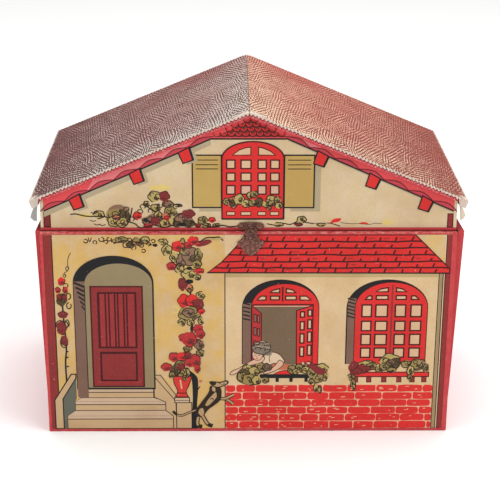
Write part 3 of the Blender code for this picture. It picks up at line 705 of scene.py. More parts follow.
def rose(press):
    """The climbing rose between doorway and window."""
    leaves = ((-63, 157.5, 4.2, 5, "leaf_light"), (-57.5, 151.5, 3.6, 4.2, "leaf_light"),
            (-46, 152.5, 9, 8, "umber"), (-39, 153.5, 3.2, 6, "leaf"), (-52.5, 146.5, 3.6, 4.2, "umber"),
            (-53.5, 141.5, 3.8, 3.8, "leaf_light"), (-46, 137.5, 6.5, 5, "leaf_light"),
            (-40, 146, 3.6, 3.6, "leaf"), (-40, 135, 3, 2.6, "leaf_light"), (-46, 126, 3, 3.8, "orange"),
            (-37.5, 119.5, 3.8, 3.6, "leaf_light"), (-46.5, 104, 9, 6.6, "leaf"), (-47, 105, 5, 4, "umber"),
            (-37.5, 98, 2.3, 3.6, "leaf_light"), (-52.5, 96.5, 3, 3.4, "leaf_light"),
            (-45.5, 96.5, 3, 3, "leaf_light"), (-39, 77.5, 4.2, 4.6, "umber"), (-38, 70, 3.4, 3.4, "leaf"),
            (-48, 73.5, 3.6, 2.8, "leaf"), (-51, 160.5, 3, 7, "leaf"))
    press.stroke([(-46, 137), (-46, 128), (-45, 118), (-44, 100), (-44.5, 88), (-45, 73)], 1.6, "black")
    press.leaves(leaves, 3)
    press.blob("black", -46, 131.4, 3.2, 2, None)
    press.blob("black", -44.5, 91, 1.5, 2.4, None)
    press.blob("black", -46, 142.5, 2.4, 1.5, None)
    press.ring(-57.5, 107.5, 2.6, 3, 0.9, "yellow")
    flowers = ((-55, 161, 3.6, 3.8, "red"), (-46.5, 162, 3, 2.6, "bloom"), (-43, 165.4, 3.6, 3.2, "red"),
            (-38.5, 162.6, 2.6, 2, "bloom"), (-60, 144, 3.3, 3, "bloom"), (-38.4, 140.3, 3.2, 2, "red"),
            (-51.5, 129, 2.8, 4.8, "bloom_dark"), (-50, 115, 4.6, 5, "red"), (-44, 115.4, 4.4, 4.4, "red"),
            (-39, 112.5, 3.4, 4, "bloom_dark"), (-37, 106, 2.4, 2.2, "red"), (-39.5, 91, 3.6, 3.4, "bloom"),
            (-38, 86.5, 3.2, 3.6, "bloom"), (-52, 83, 2.6, 3.2, "bloom"), (-46.5, 82, 5, 5.8, "bloom"))
    press.blooms(flowers)
    press.soft("bloom_dark", [(-38, 161), (-33, 161.6), (-28.5, 164.5), (-31, 166.4), (-36, 165)])
    press.stroke([(-38, 164), (-33, 167.6), (-27, 168), (-23, 168.2), (-19.8, 165.4)], 0.9)
    press.soft("leaf_light", [(-29, 166.4), (-25, 167.8), (-21, 167.4), (-24, 165.8)])


def wall_vine(press):
    """The small vine beside the doorway."""
    press.stroke([(-145, 112), (-144.6, 100), (-143.4, 76), (-144.6, 62), (-144.4, 45)], 1.2, "black")
    for z in (58, 66, 71):
        press.line("black", [(-144, z), (-142, z + 0.6)], 1.0)
    press.leaf(-145.4, 116, 4, 5.4, "leaf_dark", 3)
    for x, z, wide, tall in ((-140, 119, 1.7, 2.5), (-140, 111, 1.8, 2.6), (-142, 128, 2, 1.8),
            (-146, 94.6, 4.8, 4), (-142, 95.5, 1.6, 3.4), (-145, 79.5, 2.8, 4.6)):
        press.ring(x, z, wide, tall, 0.8)
    press.blooms(((-145, 131.6, 2.5, 3, "red"), (-148.2, 124, 1.9, 2.3, "bloom"),
            (-142.2, 124.4, 1.7, 2.5, "bloom"), (-147.5, 118.5, 1.8, 2.4, "bloom_dark"),
            (-143.2, 118, 1.8, 2, "bloom_dark"), (-145, 103.2, 3.3, 2.6, "bloom_dark"),
            (-146.6, 92, 3.4, 5.2, "bloom_dark"), (-144.6, 81, 2.4, 3.8, "bloom_dark")))
    press.stroke([(-141.4, 136), (-142.6, 138.4), (-139.4, 141), (-139.6, 146), (-139, 151),
            (-137, 155.4)], 0.7, "leaf_dark")
    press.ring(-140, 142.2, 1.2, 1.6, 0.7)
    press.ring(-142.4, 136.4, 1.1, 1.4, 0.6)


def geranium(press):
    """The pot of geraniums on its pedestal, and the black trunk behind."""
    press.fill("black", curved([(-45, ART_FOOT), (-40.4, ART_FOOT), (-41, 22), (-40.2, 34), (-40, 46),
            (-42.4, 51), (-47, 54.6), (-50, 55), (-47.4, 51), (-45, 46), (-44.4, 30), (-45, 14)], 3, True))
    press.line("black", [(-41, 36.5), (-38.4, 40.5)], 0.9)
    press.outlined("step_riser", rect(-57.5, ART_FOOT, -45.2, 26), 0.7)
    press.outlined("step_tread", rect(-58.8, 26, -47, 30.6), 0.7)
    press.line("line_brown", [(-58.6, 28), (-47.2, 28)], 0.5)
    press.outlined("pot", [(-60, 49.4), (-45, 49.4), (-47.5, 41), (-49.6, 36.8), (-49.4, 34.6), (-47.8, 31.2),
            (-58.2, 31.2), (-56.6, 34.6), (-56.2, 36.8), (-59, 43)], 0.7, "dark_red")
    press.line("pane_pink", [(-54.2, 46.4), (-53, 38.4)], 1.2)
    press.line("dark_red", [(-57, 34.6), (-49.2, 34.6)], 0.8)
    press.leaves(((-58, 54.5, 4, 5.4, "leaf_dark"), (-60.6, 50.6, 2.4, 3, "leaf"),
            (-54.2, 60.5, 4, 3, "leaf"), (-49.6, 52.5, 3.4, 4.6, "leaf_light"), (-53.5, 53, 2.8, 3.4, "leaf"),
            (-50.4, 48, 1.8, 2.6, "leaf")), 3)
    press.blooms(((-65, 57.6, 3.6, 3.2, "bloom"), (-59, 66.4, 3.6, 3.6, "bloom"),
            (-52, 67.2, 3.8, 3.2, "red"), (-46.6, 61.6, 3.6, 3.4, "bloom"), (-42, 63.2, 3.6, 5, "bloom"),
            (-53.6, 58, 2.8, 2.6, "bloom_dark"), (-40.6, 56.4, 2, 3.2, "bloom"),
            (-47.6, 68.4, 2.4, 2.6, "bloom_dark")))
    press.blob("orange", -38, 45, 1.5, 1.3, None)


def little_dog(press):
    """A small dog standing up against the wall, dark along its back and pale down its side."""
    tail = curved([(-40.6, 20), (-47.6, 17), (-53.4, 14.4), (-57.8, 15.6), (-60.4, 18.4)])
    press.line("line_brown", tail, 2.3)
    press.line("fur", tail[:12], 0.9)
    for knee, foot, toe in (((-40.6, 11), (-40.4, 5.4), (-37, 4.4)), ((-35.6, 12), (-32.4, 6.6),
            (-28.6, 4.8))):
        leg = curved([(-38, 18), knee, foot, toe])
        press.line("line_brown", leg, 3.4)
        press.line("fur", leg[:9], 1.7)
    for elbow, foot in (((-17, 28.6), (-12, 24.6)), ((-19, 29.4), (-11.4, 33.2))):
        press.stroke([(-25, 30), elbow, foot], 2.9)
        press.stroke([(-25, 30.4), elbow, foot], 1.5, "fur")
    press.soft("line_brown", [(-30, 41), (-22.4, 39.4), (-21.4, 33), (-22.6, 28), (-26.6, 24), (-32, 19.6),
            (-36, 14.4), (-41.4, 13.4), (-42.2, 19), (-38.8, 24.6), (-34.4, 31), (-31.4, 36)])
    press.soft("fur", [(-26, 35.4), (-25.4, 31), (-29, 26.4), (-32, 23.4), (-34.4, 23.6), (-32.4, 28.2),
            (-29.4, 32)])
    press.soft("fur", [(-36.4, 21), (-35.4, 16.6), (-37.4, 13.8), (-39.8, 16.6), (-39, 20)])
    press.soft("fur", [(-28.6, 40.4), (-26.6, 39.4), (-26.4, 36), (-28.8, 37)])
    press.stroke([(-30.4, 29), (-28.8, 29.8), (-27.6, 28.6)], 0.8)
    press.line("line_brown", [(-25.4, 38.4), (-24.6, 34.6)], 0.8)
    press.soft("fur", [(-29, 42.4), (-27, 44.4), (-23.4, 44), (-20.4, 44.6), (-17, 45.4), (-16.2, 43.6),
            (-18.4, 41.8), (-22, 40.2), (-26, 40)], 0.9)
    press.soft("line_brown", [(-31.2, 44.4), (-28.6, 45.2), (-25.8, 43.8), (-26.4, 41.8), (-29.4, 41.8)])
    press.line("umber", [(-21.6, 41.8), (-18.4, 43)], 1.1)
    press.line("line_brown", [(-23.2, 43), (-22.2, 43.1)], 0.8)
    press.blob("black", -16.6, 44.5, 0.9, 0.8, None)


def child(press):
    """A child at the window, drawn with a few plain strokes."""
    press.soft("orange", [(18, 60), (24, 61.6), (32, 59.4), (32.6, 56), (24, 55), (18, 56.6)])
    press.soft("blouse", [(11, 62), (13, 68.4), (19, 70.6), (24.6, 68.4), (28.6, 62.4), (25.6, 60.4),
            (20, 60.8), (15, 58.6)], 0.6)
    press.stroke([(18.6, 69.6), (16.4, 66), (17, 62)], 0.5)
    press.soft("skin", [(12.6, 66.4), (6, 65), (-1, 61), (-7.6, 56.4), (-12, 54.6), (-14.8, 51.6),
            (-12.4, 50.6), (-8.6, 52.6), (-3, 56), (4, 59.6), (11, 62)], 0.55)
    press.soft("skin", [(24.6, 63.6), (28, 60.6), (24.4, 56.2), (18.6, 53), (13, 51.4), (12.6, 53), (18, 56),
            (21.6, 59.6)], 0.55)
    press.outlined("skin", arc(7.2, 68.6, 4.2, 5.2, 0, 360, 20)[:-1], 0.5,
            "line_brown")
    press.fill("hair", lobes(14.6, 70.8, 3.8, 3.4, 5, 0.12, 0.2))
    press.outlined("hair", lobes(10.2, 74.4, 7.7, 5.8, 7, 0.1, 0.4), 0.7, "line_brown")
    for x, z in ((6.4, 76), (10.4, 77.6), (14.4, 75.6), (11.6, 73), (7.6, 73.4), (15, 72)):
        press.line("line_brown", arc(x, z, 2.2, 1.5, 30, 190, 6), 0.8)
        press.line("step_tread", arc(x + 0.6, z + 1, 2.0, 1.4, 40, 150, 6), 0.5)
    press.line("line_brown", [(4.4, 67.9), (5.8, 67.8)], 0.5)
    press.line("line_brown", [(7.8, 67.8), (9.2, 67.9)], 0.5)
    press.line("line_brown", [(6.8, 67.4), (6.5, 66.4), (7.1, 66.2)], 0.35)
    press.line("deep_red", [(6.0, 65), (7.7, 65)], 0.5)


def window_flowers(press):
    """The two window ledges with their plants."""
    press.soft("red", [(20, 50), (24, 53.4), (31, 54.6), (34, 52), (33, 50)], 0.5, "dark_red")
    for bed in ([(-9, 46), (-8, 54), (0, 59), (12, 60), (15, 54), (8, 51), (8, 43), (0, 41.5)], [(33, 53),
            (36, 58.6), (46, 59), (60, 60), (63, 54), (61, 48), (54, 43.5), (49, 47), (47, 52)]):
        press.soft("leaf_dark", bed)
    press.fill("black", rect(9, 47.7, 48.4, 51.2))
    for x in (23, 34, 46):
        press.fill("black", rect(x - 1.3, 44.4, x + 1.3, 48))
    press.outlined("red", rect(82.6, 48.8, 143.6, 52.8), 0.9, "dark_red")
    for x in (85.4, 96, 108, 120, 130.6, 140):
        press.outlined("deep_red", rect(x - 1.8, 44, x + 1.8, 48.6), 0.6, "dark_red")
    press.leaves(((-5.4, 49, 3.6, 4.4, "leaf"), (9.4, 57.4, 4.6, 4, "leaf"), (13.6, 46, 3, 2.8, "leaf"),
            (-1.4, 57.4, 3.4, 2.6, "leaf_light"), (4.6, 53.6, 4.2, 4.4, "leaf_light"),
            (0.6, 46.6, 5.6, 5.2, "leaf"), (6.4, 46, 3.8, 4.2, "leaf_light"),
            (15, 57.6, 4, 3.4, "jamb_brown"), (34.6, 55.4, 3.6, 4, "leaf"), (40.2, 57.4, 3.2, 3, "leaf"),
            (38, 53.6, 3, 2.6, "leaf_light"), (45.4, 55, 3, 3.4, "leaf_light"),
            (58, 56.6, 5.6, 4, "leaf_light"), (50.4, 52.6, 3.8, 4.8, "leaf"),
            (60.4, 50.4, 3.4, 5.4, "leaf_light"), (55.6, 48.4, 4.4, 5, "leaf"),
            (50.4, 44.6, 2.4, 2.4, "leaf"), (54, 39.4, 2, 4, "leaf_light"),
            (57.2, 37.4, 1.4, 3, "leaf_light")), 2)
    press.soft("bloom_dark", [(46.6, 60), (52, 60), (59, 56), (62.4, 53), (57, 50.6), (51, 54.6)])
    press.blob("pane_pink", 43.4, 60.6, 1.6, 1.6)
    press.blob("pane_pink", 47.8, 61, 1.6, 1.6)
    press.leaves(((94.4, 59, 8, 4.4, "leaf_light"), (98, 58, 4.4, 3.4, "leaf"),
            (91.6, 55, 3.6, 3, "leaf_dark"), (104, 55.6, 3.4, 3, "leaf"), (112.4, 62, 8.6, 7.6, "leaf_light"),
            (108, 58.4, 4, 4, "leaf"), (117, 61, 4, 4.6, "leaf_dark"), (112.4, 61.4, 3, 2.8, "umber"),
            (114, 54.8, 4, 2.4, "leaf"), (126, 60, 5, 3.6, "leaf"), (134.6, 59.6, 7, 5.2, "umber"),
            (133.4, 60, 5, 4.4, "leaf"), (141, 56.4, 2.2, 4, "leaf"), (129, 54, 3, 5, "leaf_light"),
            (128.6, 48, 2, 3, "leaf"), (82, 48.6, 3, 3.4, "leaf"), (83.6, 42, 2.2, 5, "leaf"),
            (84, 39.4, 1.5, 3, "leaf_light")), 3)
    for x, z, wide, tall in ((83.6, 56.6, 3.6, 5.2), (90, 56.4, 3, 3.4), (86.6, 53.4, 3, 3),
            (94.6, 56, 2.6, 2)):
        press.bloom(x, z, wide, tall, "bloom_dark")


def front_print():
    node_low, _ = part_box("front_print")
    press = Press(node_low.y, 11)
    press.register(1, 0, 0.9925, 0.02)
    front_ground(press)
    steps_and_walls(press)
    doorway(press)
    awning(press)
    brickwork(press)
    open_window(press)
    shut_window(press)
    child(press)
    window_flowers(press)
    garland(press)
    rose(press)
    wall_vine(press)
    geranium(press)
    little_dog(press)
    return press.build("front_print_inks", "front_leaf")


# ---------------------------------------------------------------- gable sheet


def verge_line(x):
    """The height of the printed verge board's lower edge."""
    return 256.5 - 0.447 * abs(x)


def gable_eave(press):
    """The verge boards with their scallops, and the tiles under the peak."""
    top_at = [(x, 260.9 - 0.4163 * abs(x)) for x in (-156.8, 0, 157.2)]
    low = [(x, verge_line(x)) for x in (-156.8, -29, 29, 157.2)]
    shade = [(x, z - 5) for x, z in low[:2]] + [(x, z - 1.6) for x, z in low[2:]]
    press.fill("shadow_green", low[:2] + shade[:2][::-1])
    press.fill("shadow_green", low[2:] + shade[2:][::-1])
    press.fill("verge_red", [low[0], top_at[0], top_at[1], (0, 244), low[1]])
    press.fill("verge_red", [low[3], top_at[2], top_at[1], (0, 244), low[2]])
    press.fill("verge_soft", [(-124, verge_line(124) + 0.5), (-118, 211.6), (-52, 238.2), (-42, 241.5),
            (-56, verge_line(56) + 1)])
    press.fill("verge_soft", [(40, 243), (58, 235), (50, verge_line(50) + 1), (38, verge_line(38) + 1)])
    press.fill("bloom_dark", [(-25, 245), (-16, 250), (0, 259), (14, 252.5), (28, 245)])
    for row in range(4):
        z = 245.2 + row * 3.6
        half = (260 - z) * 1.85 - 3
        x = -half + row % 2 * 2.7
        while x < half:
            press.line("dark_red", arc(x, z + 3.2, 2.9, 3.2, 180, 360, 8), 0.6)
            press.line("red", arc(x, z + 3.8, 2.2, 2.4, 190, 350, 6), 0.8)
            x += 5.4
    press.line("black", [low[1], low[2]], 1.3)
    for side in (-1, 1):
        press.line("black", [(side * 28.5, verge_line(28.5)), (side * 156.8, verge_line(156.8))], 1.3)
        for i in range(7):
            x = 45.5 + i * 19
            lobe = curved([(side * at, verge_line(at) + up) for at, up in ((x, 0.6), (x - 4, 3.0),
                    (x - 8, 4.0), (x - 14, 2.6), (x - 19, 0.6))])
            press.fill("verge_deep", lobe)
            press.line("dark_red", lobe, 0.55)


def gable_brackets(press):
    """The ends of the beams that seem to carry the eaves."""
    for side, lower, places in ((-1, 0.2, (49.5, 86.6, 132.5)), (1, 1.4, (52.8, 92.4, 133))):
        for x in places:
            z = verge_line(x) - lower
            shape = [(side * (x + 5.2), z - 1.6), (side * (x + 1.6), z - 9.9), (side * (x - 6), z - 7.2),
                    (side * (x - 3), z + 3)]
            if side < 0:
                press.fill("shadow_green", [(px + 3.4, pz - 1) for px, pz in shape])
            press.outlined("red", shape, 1.0)
            press.line("black", [shape[3 if side < 0 else 0], shape[2 if side < 0 else 1]], 1.7)


def gable_window(press):
    """The arched window of the gable between its two shutters."""
    for left, right in ((-44.2, -22.4), (25, 47.5)):
        press.fill("shadow_green", rect(left + 5, 186, right + 5, 227))
        press.outlined("shutter", rect(left, 189.2, right, 230.8), 1.1)
        for z in (227, 223.3, 220):
            press.line("black", [(left + 2.5, z), (right - 2.5, z)], 0.7)
    press.outlined("red", arch(-22, 24.6, 180, 228, 241.5), 1.1, "dark_red")
    columns = ((-18.4, -12.2), (-7.6, -0.2), (5.2, 11.2), (14.6, 21))
    for low, top in ((220.4, 227), (210.6, 216.8), (200, 206.8)):
        for left, right in columns:
            press.outlined("pane_pink" if low < 205 else "pane", rect(left, low, right, top), 1.1, "dark_red")
    for left, right in columns:
        press.outlined("pane", rect(left, 183, right, 185.8), 0.7, "dark_red")
    press.outlined("pane", [(-14, 231), (-9, 235), (-4, 236.8), (-0.4, 237.2), (-0.4, 231)], 0.8, "dark_red")
    press.outlined("pane", [(5.4, 231), (5.4, 237.2), (9, 236.4), (14, 234.2), (18, 231)], 0.8, "dark_red")
    press.line("black", [(-22, 180), (24.6, 180)], 1.3)
    press.line("black", [(24.8, 180), (24.8, 228)], 1.2)


def gable_flowers(press):
    """The plants along the window and the vine that runs across the foot of the gable."""
    press.leaves(((-18, 194, 3.4, 3, "leaf"), (-13.6, 193.4, 4, 5, "orange"), (-9, 196, 4, 4.4, "leaf_light"),
            (-14.4, 193, 2, 3, "leaf_dark"), (-3.6, 192.6, 3.6, 3.4, "leaf_light"),
            (-1, 199, 2.4, 2.8, "leaf_light"), (2.4, 200, 3, 2.6, "leaf"), (1, 193, 3, 3, "leaf"),
            (6, 193.6, 3, 4, "leaf_dark"), (11, 192, 3, 2.6, "leaf_light"),
            (15, 195.6, 3.8, 3.6, "leaf_light"), (15.4, 192.8, 2.6, 2.4, "leaf"), (20, 195, 2.8, 3.4, "leaf"),
            (21, 191, 3, 2.6, "leaf_light"), (13.4, 189, 2, 1.8, "orange")), 2)
    clumps = ((-115.4, 183.4, 4.6, 3.4, "leaf_light"), (-101, 185, 8, 6.2, "leaf"),
            (-96, 183, 4, 6, "leaf_dark"), (-104, 178, 5, 4.6, "leaf_light"),
            (-98, 177, 4.4, 4, "leaf_light"), (-102, 181, 3, 2.4, "orange"), (-73, 198, 5, 4.6, "leaf_light"),
            (-79, 192, 2.6, 2.4, "leaf_light"), (-72, 189, 4.4, 3, "leaf_light"),
            (-63, 192, 4.4, 2.8, "umber"), (-55.4, 190.8, 3.4, 1.2, "leaf_light"), (-61, 186, 5, 4, "leaf"),
            (-70.6, 183, 3, 3.6, "leaf_light"), (-78, 178.6, 5, 3.6, "umber"),
            (-64.6, 181.6, 3.4, 3.6, "orange"), (-66, 176.6, 3.6, 3.4, "leaf_light"),
            (-59, 178.6, 4, 4, "leaf_light"), (-52, 180, 6, 4.6, "umber"), (-56, 175.6, 3, 2.6, "leaf_dark"),
            (-47, 176, 5, 2.8, "leaf_dark"), (-36.6, 178.6, 4, 3.4, "leaf"),
            (-34, 174.6, 3.6, 2, "leaf_light"), (-26, 174.8, 3.4, 1.4, "leaf"))
    press.fill("leaf", lobes(-101, 181.6, 9.4, 8.6, 8, 0.08, 0.3))
    press.soft("umber", [(-76, 175), (-80, 180), (-74, 184.6), (-62, 184), (-54, 184.6), (-46, 182),
            (-44, 176), (-58, 173.8)])
    press.leaves(clumps, 3)
    press.soft("umber", [(-107.6, 187.4), (-104.6, 190.6), (-99, 191.4), (-94, 188.6), (-92, 184.6),
            (-95.6, 187), (-101, 188.4)])
    press.blooms(((-86, 182.6, 3, 2.8, "red"), (-65.4, 198, 3.4, 3.8, "bloom_dark"),
            (-72.6, 178.4, 3, 3, "bloom_dark"), (-47.6, 184.2, 4.4, 2.9, "bloom_dark"),
            (-64, 180.6, 1.8, 1.6, "red"), (-29.6, 179, 2.3, 2, "red"), (-40, 174.8, 2, 1.6, "bloom_dark"),
            (-78, 174.6, 3, 1.6, "bloom")))
    press.blob("black", -80, 179, 2, 1.8, None)
    press.blob("black", -52, 175.6, 3, 1.6, None)
    for line in ([(-137, 183.6), (-133, 184), (-129, 183), (-123, 182), (-112, 182),
            (-108, 180.6)], [(-90, 189), (-91, 184), (-92.6, 178), (-96, 173.8)], [(-81, 193), (-77, 188.6),
            (-73, 186), (-70, 187)], [(-94, 178), (-88, 176), (-84, 172.8), (-74, 175), (-66, 173),
            (-58, 175.6)], [(-38, 176), (-30, 173.4), (-22, 174.8), (-16, 173.6), (-9, 174.4)]):
        press.stroke(line, 0.9)
    for x, z in ((-76, 186.6), (-82, 190), (-69, 190.6), (-84, 186), (-90.6, 180), (-94.4, 188), (-57, 190)):
        press.ring(x, z, 2, 1.6, 0.7)
    for x, z in ((-120, 178), (-117, 175), (-113, 174.6), (-119, 184.4)):
        press.stroke([(x - 2.4, z + 1), (x, z), (x + 2.4, z + 0.8)], 0.7)
    press.stroke([(12, 176), (18, 175), (24, 176.4), (30, 175.4), (36, 178), (42, 177), (48, 176)], 0.9)
    press.line("line_brown", [(48, 176.4), (57, 176)], 0.5)
    press.leaf(54, 175.2, 3.8, 1.3, "leaf_light", 0)
    press.leaf(21, 175.4, 4, 1.6, "leaf_light", 1)
    press.leaf(38.6, 179.4, 3.8, 2.8, "leaf_light", 3)
    press.blob("bloom_dark", 36, 175.4, 3.4, 1.4)
    press.stroke([(58, 176.6), (62, 176), (68, 174)], 0.8)
    press.soft("red", [(60.4, 176.6), (63, 179.8), (68.4, 180.4), (67.6, 178), (64, 177)])
    press.soft("red", [(82.4, 176.2), (86, 177.4), (89.6, 176.2), (86, 175.4)])
    press.stroke([(68, 177), (75, 176), (82, 176), (90, 175.4), (95, 176.4), (101, 175.8)], 0.5, "leaf_dark")
    press.fill("yellow", lobes(104, 177, 5, 2.4, 5, 0.3))


def gable_sheet():
    node_low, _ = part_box("gable_print")
    press = Press(node_low.y, 23)
    slope = [(x, 260.4 - 0.4163 * abs(x)) for x in (157.8, 0, -156.6)]
    press.fill("gable_cream", [(-156.6, 173.3), (157.8, 173.3), *slope])
    press.fill("yellow", lobes(-68, 205, 9, 2.6, 5, 0.25))
    press.fill("yellow", lobes(-126, 182.5, 6, 2.2, 5, 0.3))
    press.outlined("bloom_dark", rect(-156.8, 173.4, -152, 185.5), 0.8, "dark_red")
    press.outlined("deep_red", rect(152.6, 173.2, 156.6, 184), 0.8, "dark_red")
    gable_eave(press)
    press.register(1.0075, 1.5, 1, 0)
    gable_window(press)
    gable_brackets(press)
    gable_flowers(press)
    press.register(1, 0, 1, 0)
    # A dark red strip along the gable's foot: painted shade of the gap between the gable and the leaf.
    press.fill("tape_shade", rect(-159, 170.15, 159, 171.3))
    return press.build("gable_print_inks", "lid")


# ---------------------------------------------------------------- roof


FLAT_EDGE = 1.8 * MM
EAVE_ROUND, CROWN_ROUND = 1.5 * MM, 3.5 * MM
EAVE_LIP, LIP_RUN, UNDER_LIP = 7 * MM, 2 * MM, 4 * MM
TURN_STEPS = 8
FLAP_CARD, FLAP_ROUND, FLAP_TWIST = 0.6 * MM, 4.5 * MM, 9 * MM


def value_noise(x, y, seed):
    """Smooth noise from 0 to 1 at numpy points, one cell to a unit."""
    def corner(i, j):
        value = np.sin(i * 127.1 + j * 311.7 + seed * 74.7) * 43758.5453
        return value - np.floor(value)

    i, j = np.floor(x), np.floor(y)
    u, v = x - i, y - j
    u, v = u * u * (3 - 2 * u), v * v * (3 - 2 * v)
    low = corner(i, j) * (1 - u) + corner(i + 1, j) * u
    high = corner(i, j + 1) * (1 - u) + corner(i + 1, j + 1) * u
    return low * (1 - v) + high * v


def near(distance, reach):
    """1 at no distance, falling to 0 at the reach."""
    return np.clip(1 - distance / reach, 0, 1)


def emboss(s, y):
    """Height from 0 to 1 of the fine broken ripples, s down the slope and y along the ridge: wave trains at
    six angles, each swelling and fading across the sheet."""
    size = sizes()
    total = strength = 0
    for k in range(6):
        turn = math.pi * (k + 0.4) / 6
        phase = (s / size.ripple_across * math.cos(turn) + y / size.ripple_along * math.sin(turn)
                 + 0.6 * value_noise(s / (6.5 * MM), y / (20 * MM), 11 + k))
        swell = value_noise(s / (7.5 * MM), y / (22 * MM), 31 + k) ** 2.5
        total = total + swell * np.cos(2 * math.pi * phase)
        strength = strength + swell ** 2
    broken = value_noise(s / (1.3 * MM), y / (3.2 * MM), 9) - 0.5
    return np.clip(0.5 + 0.42 * total / np.sqrt(strength + 0.01) + 0.25 * broken, 0, 1)


def grid_object(name, points, attributes, material, dropped=None):
    """A mesh over a grid of points, with a value for each point under each attribute's name. dropped marks
    the points whose faces are left out."""
    rows, columns = points.shape[:2]
    mesh = bpy.data.meshes.new(name)
    index = np.arange(rows * columns).reshape(rows, columns)
    quads = np.stack([index[:-1, :-1], index[1:, :-1], index[1:, 1:], index[:-1, 1:]], -1).reshape(-1, 4)
    if dropped is not None:
        quads = quads[~dropped.ravel()[quads].any(axis=1)]
    mesh.from_pydata(points.reshape(-1, 3).tolist(), [], quads.tolist())
    for label, values in attributes.items():
        mesh.attributes.new(label, "FLOAT", "POINT").data.foreach_set("value", values.ravel())
    bm = bmesh.new()
    bm.from_mesh(mesh)
    bmesh.ops.delete(bm, geom=[v for v in bm.verts if not v.link_faces], context="VERTS")
    bmesh.ops.recalc_face_normals(bm, faces=bm.faces)
    bm.to_mesh(mesh)
    bm.free()
    mesh.materials.append(material)
    mesh.shade_smooth()
    mesh.set_sharp_from_angle(angle=math.radians(55))
    made = bpy.data.objects.new(name, mesh)
    bpy.context.scene.collection.objects.link(made)
    return made


def roof_cover(side, word, finish):
    """One slope's embossed paper: fluted on top, turned down over its ends and round its eave."""
    low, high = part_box(word + "_roof_paper")
    sin, cos = math.sin(ROOF_ANGLE), math.cos(ROOF_ANGLE)
    peak = high.z - ROOF_TOP / cos
    length = (max(abs(low.x), abs(high.x)) - ROOF_TOP * sin) / cos
    cell = sizes().roof_cell
    s_line = np.linspace(-ROOF_TOP * sin / cos, length, int(length / cell))
    y_line = np.linspace(low.y, high.y, int((high.y - low.y) / (2 * cell)))
    turning = np.linspace(0, 1, TURN_STEPS + 1)[1:]
    down = np.concatenate([np.linspace(1, 0, TURN_STEPS, endpoint=False), np.zeros(len(y_line)), turning])
    over = np.concatenate([np.zeros(len(s_line)), turning, [1.0]])
    y_line = np.concatenate([np.full(TURN_STEPS, low.y), y_line, np.full(TURN_STEPS, high.y)])
    s_line = np.concatenate([s_line, np.full(TURN_STEPS, length), [length - UNDER_LIP]])
    s, y = np.meshgrid(s_line, y_line, indexing="ij")
    down, over = np.meshgrid(down, over, indexing="xy")
    from_front, from_back, from_eave = y - low.y, high.y - y, length - s
    edge = near(np.minimum(from_front, from_back), FLAT_EDGE)
    wander = 1.2 * MM * value_noise(s / (8 * MM), y / (40 * MM), 2)
    tooth = 0.5 + 0.5 * np.cos(2 * math.pi * (s + wander) / sizes().scallop)
    crest = emboss(s, y) * (1 - edge) + (0.35 + 0.65 * tooth) * edge
    rounding = near(from_eave, EAVE_ROUND) * 0.7 + near(s, CROWN_ROUND) ** 2 * 0.5
    n_top = ROOF_TOP - (1 - crest) * sizes().ripple_depth - rounding * MM
    lip = np.clip((s - (length - EAVE_LIP)) / LIP_RUN, 0, 1)
    n_foot = ROOF_UNDER - lip * (ROOF_UNDER + EAVE_DROP)
    n = np.where(over > 0, n_top - over * (n_top + EAVE_DROP), n_top - down * (n_top - n_foot))
    s = np.maximum(s, (RIDGE_GAP - n * sin) / cos)
    from_eave = length - s
    corner = np.hypot(from_front / (9 * MM), from_eave / (8 * MM))
    ridge_corner = np.hypot(from_front / (8 * MM), s / (15 * MM))
    patch = value_noise(s / (2.4 * MM), y / (2.4 * MM), 5)
    worn = (np.clip(1.25 - corner, 0, 1) + np.clip(1.15 - ridge_corner, 0, 1)) * 1.6 - 0.5 * patch
    worn = np.maximum(worn, edge * 0.8 - 0.6 * patch - 0.4 * (1 - tooth))
    worn = np.where(down > 0, 1 - 0.3 * patch, worn)
    worn = np.maximum(worn, near(from_eave, 3.2 * MM) * 1.5 - 0.6 * patch)
    worn = np.where(over > 0, 0.9 - 0.7 * patch * (1 - crest), worn)
    sweep = value_noise(s / (45 * MM), y / (45 * MM), 8)
    rub = 1.0 - from_front / (high.y - low.y) * 0.8 - 0.3 * s / length + 0.7 * (sweep - 0.5)
    bulge = (1 - crest) * 0.3 * MM
    y = np.clip(y, low.y + bulge * (down > 0), high.y - bulge * (down > 0))
    points = np.stack([side * (s * cos + n * sin), y, peak - s * sin + n * cos], -1)
    tip = np.clip(1.5 - from_eave / EAVE_LIP, 0, 1)
    # The crest value is lowered towards the eave: painted shade that darkens the lower part of each slope.
    values = {"crest": crest - 0.32 * np.clip(s / length, 0, 1) ** 1.5,
              "worn": np.clip(worn, 0, 1), "rub": np.clip(rub, 0, 1),
              "depth": np.where(over > 0, 0, down * (n_top - n_foot) * (1 - tip))}
    made = grid_object(word + "_roof_cover", points, values, finish, (down > 0) & (over > 0))
    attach(made, "lid")
    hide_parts(word + "_roof_paper")
    return made


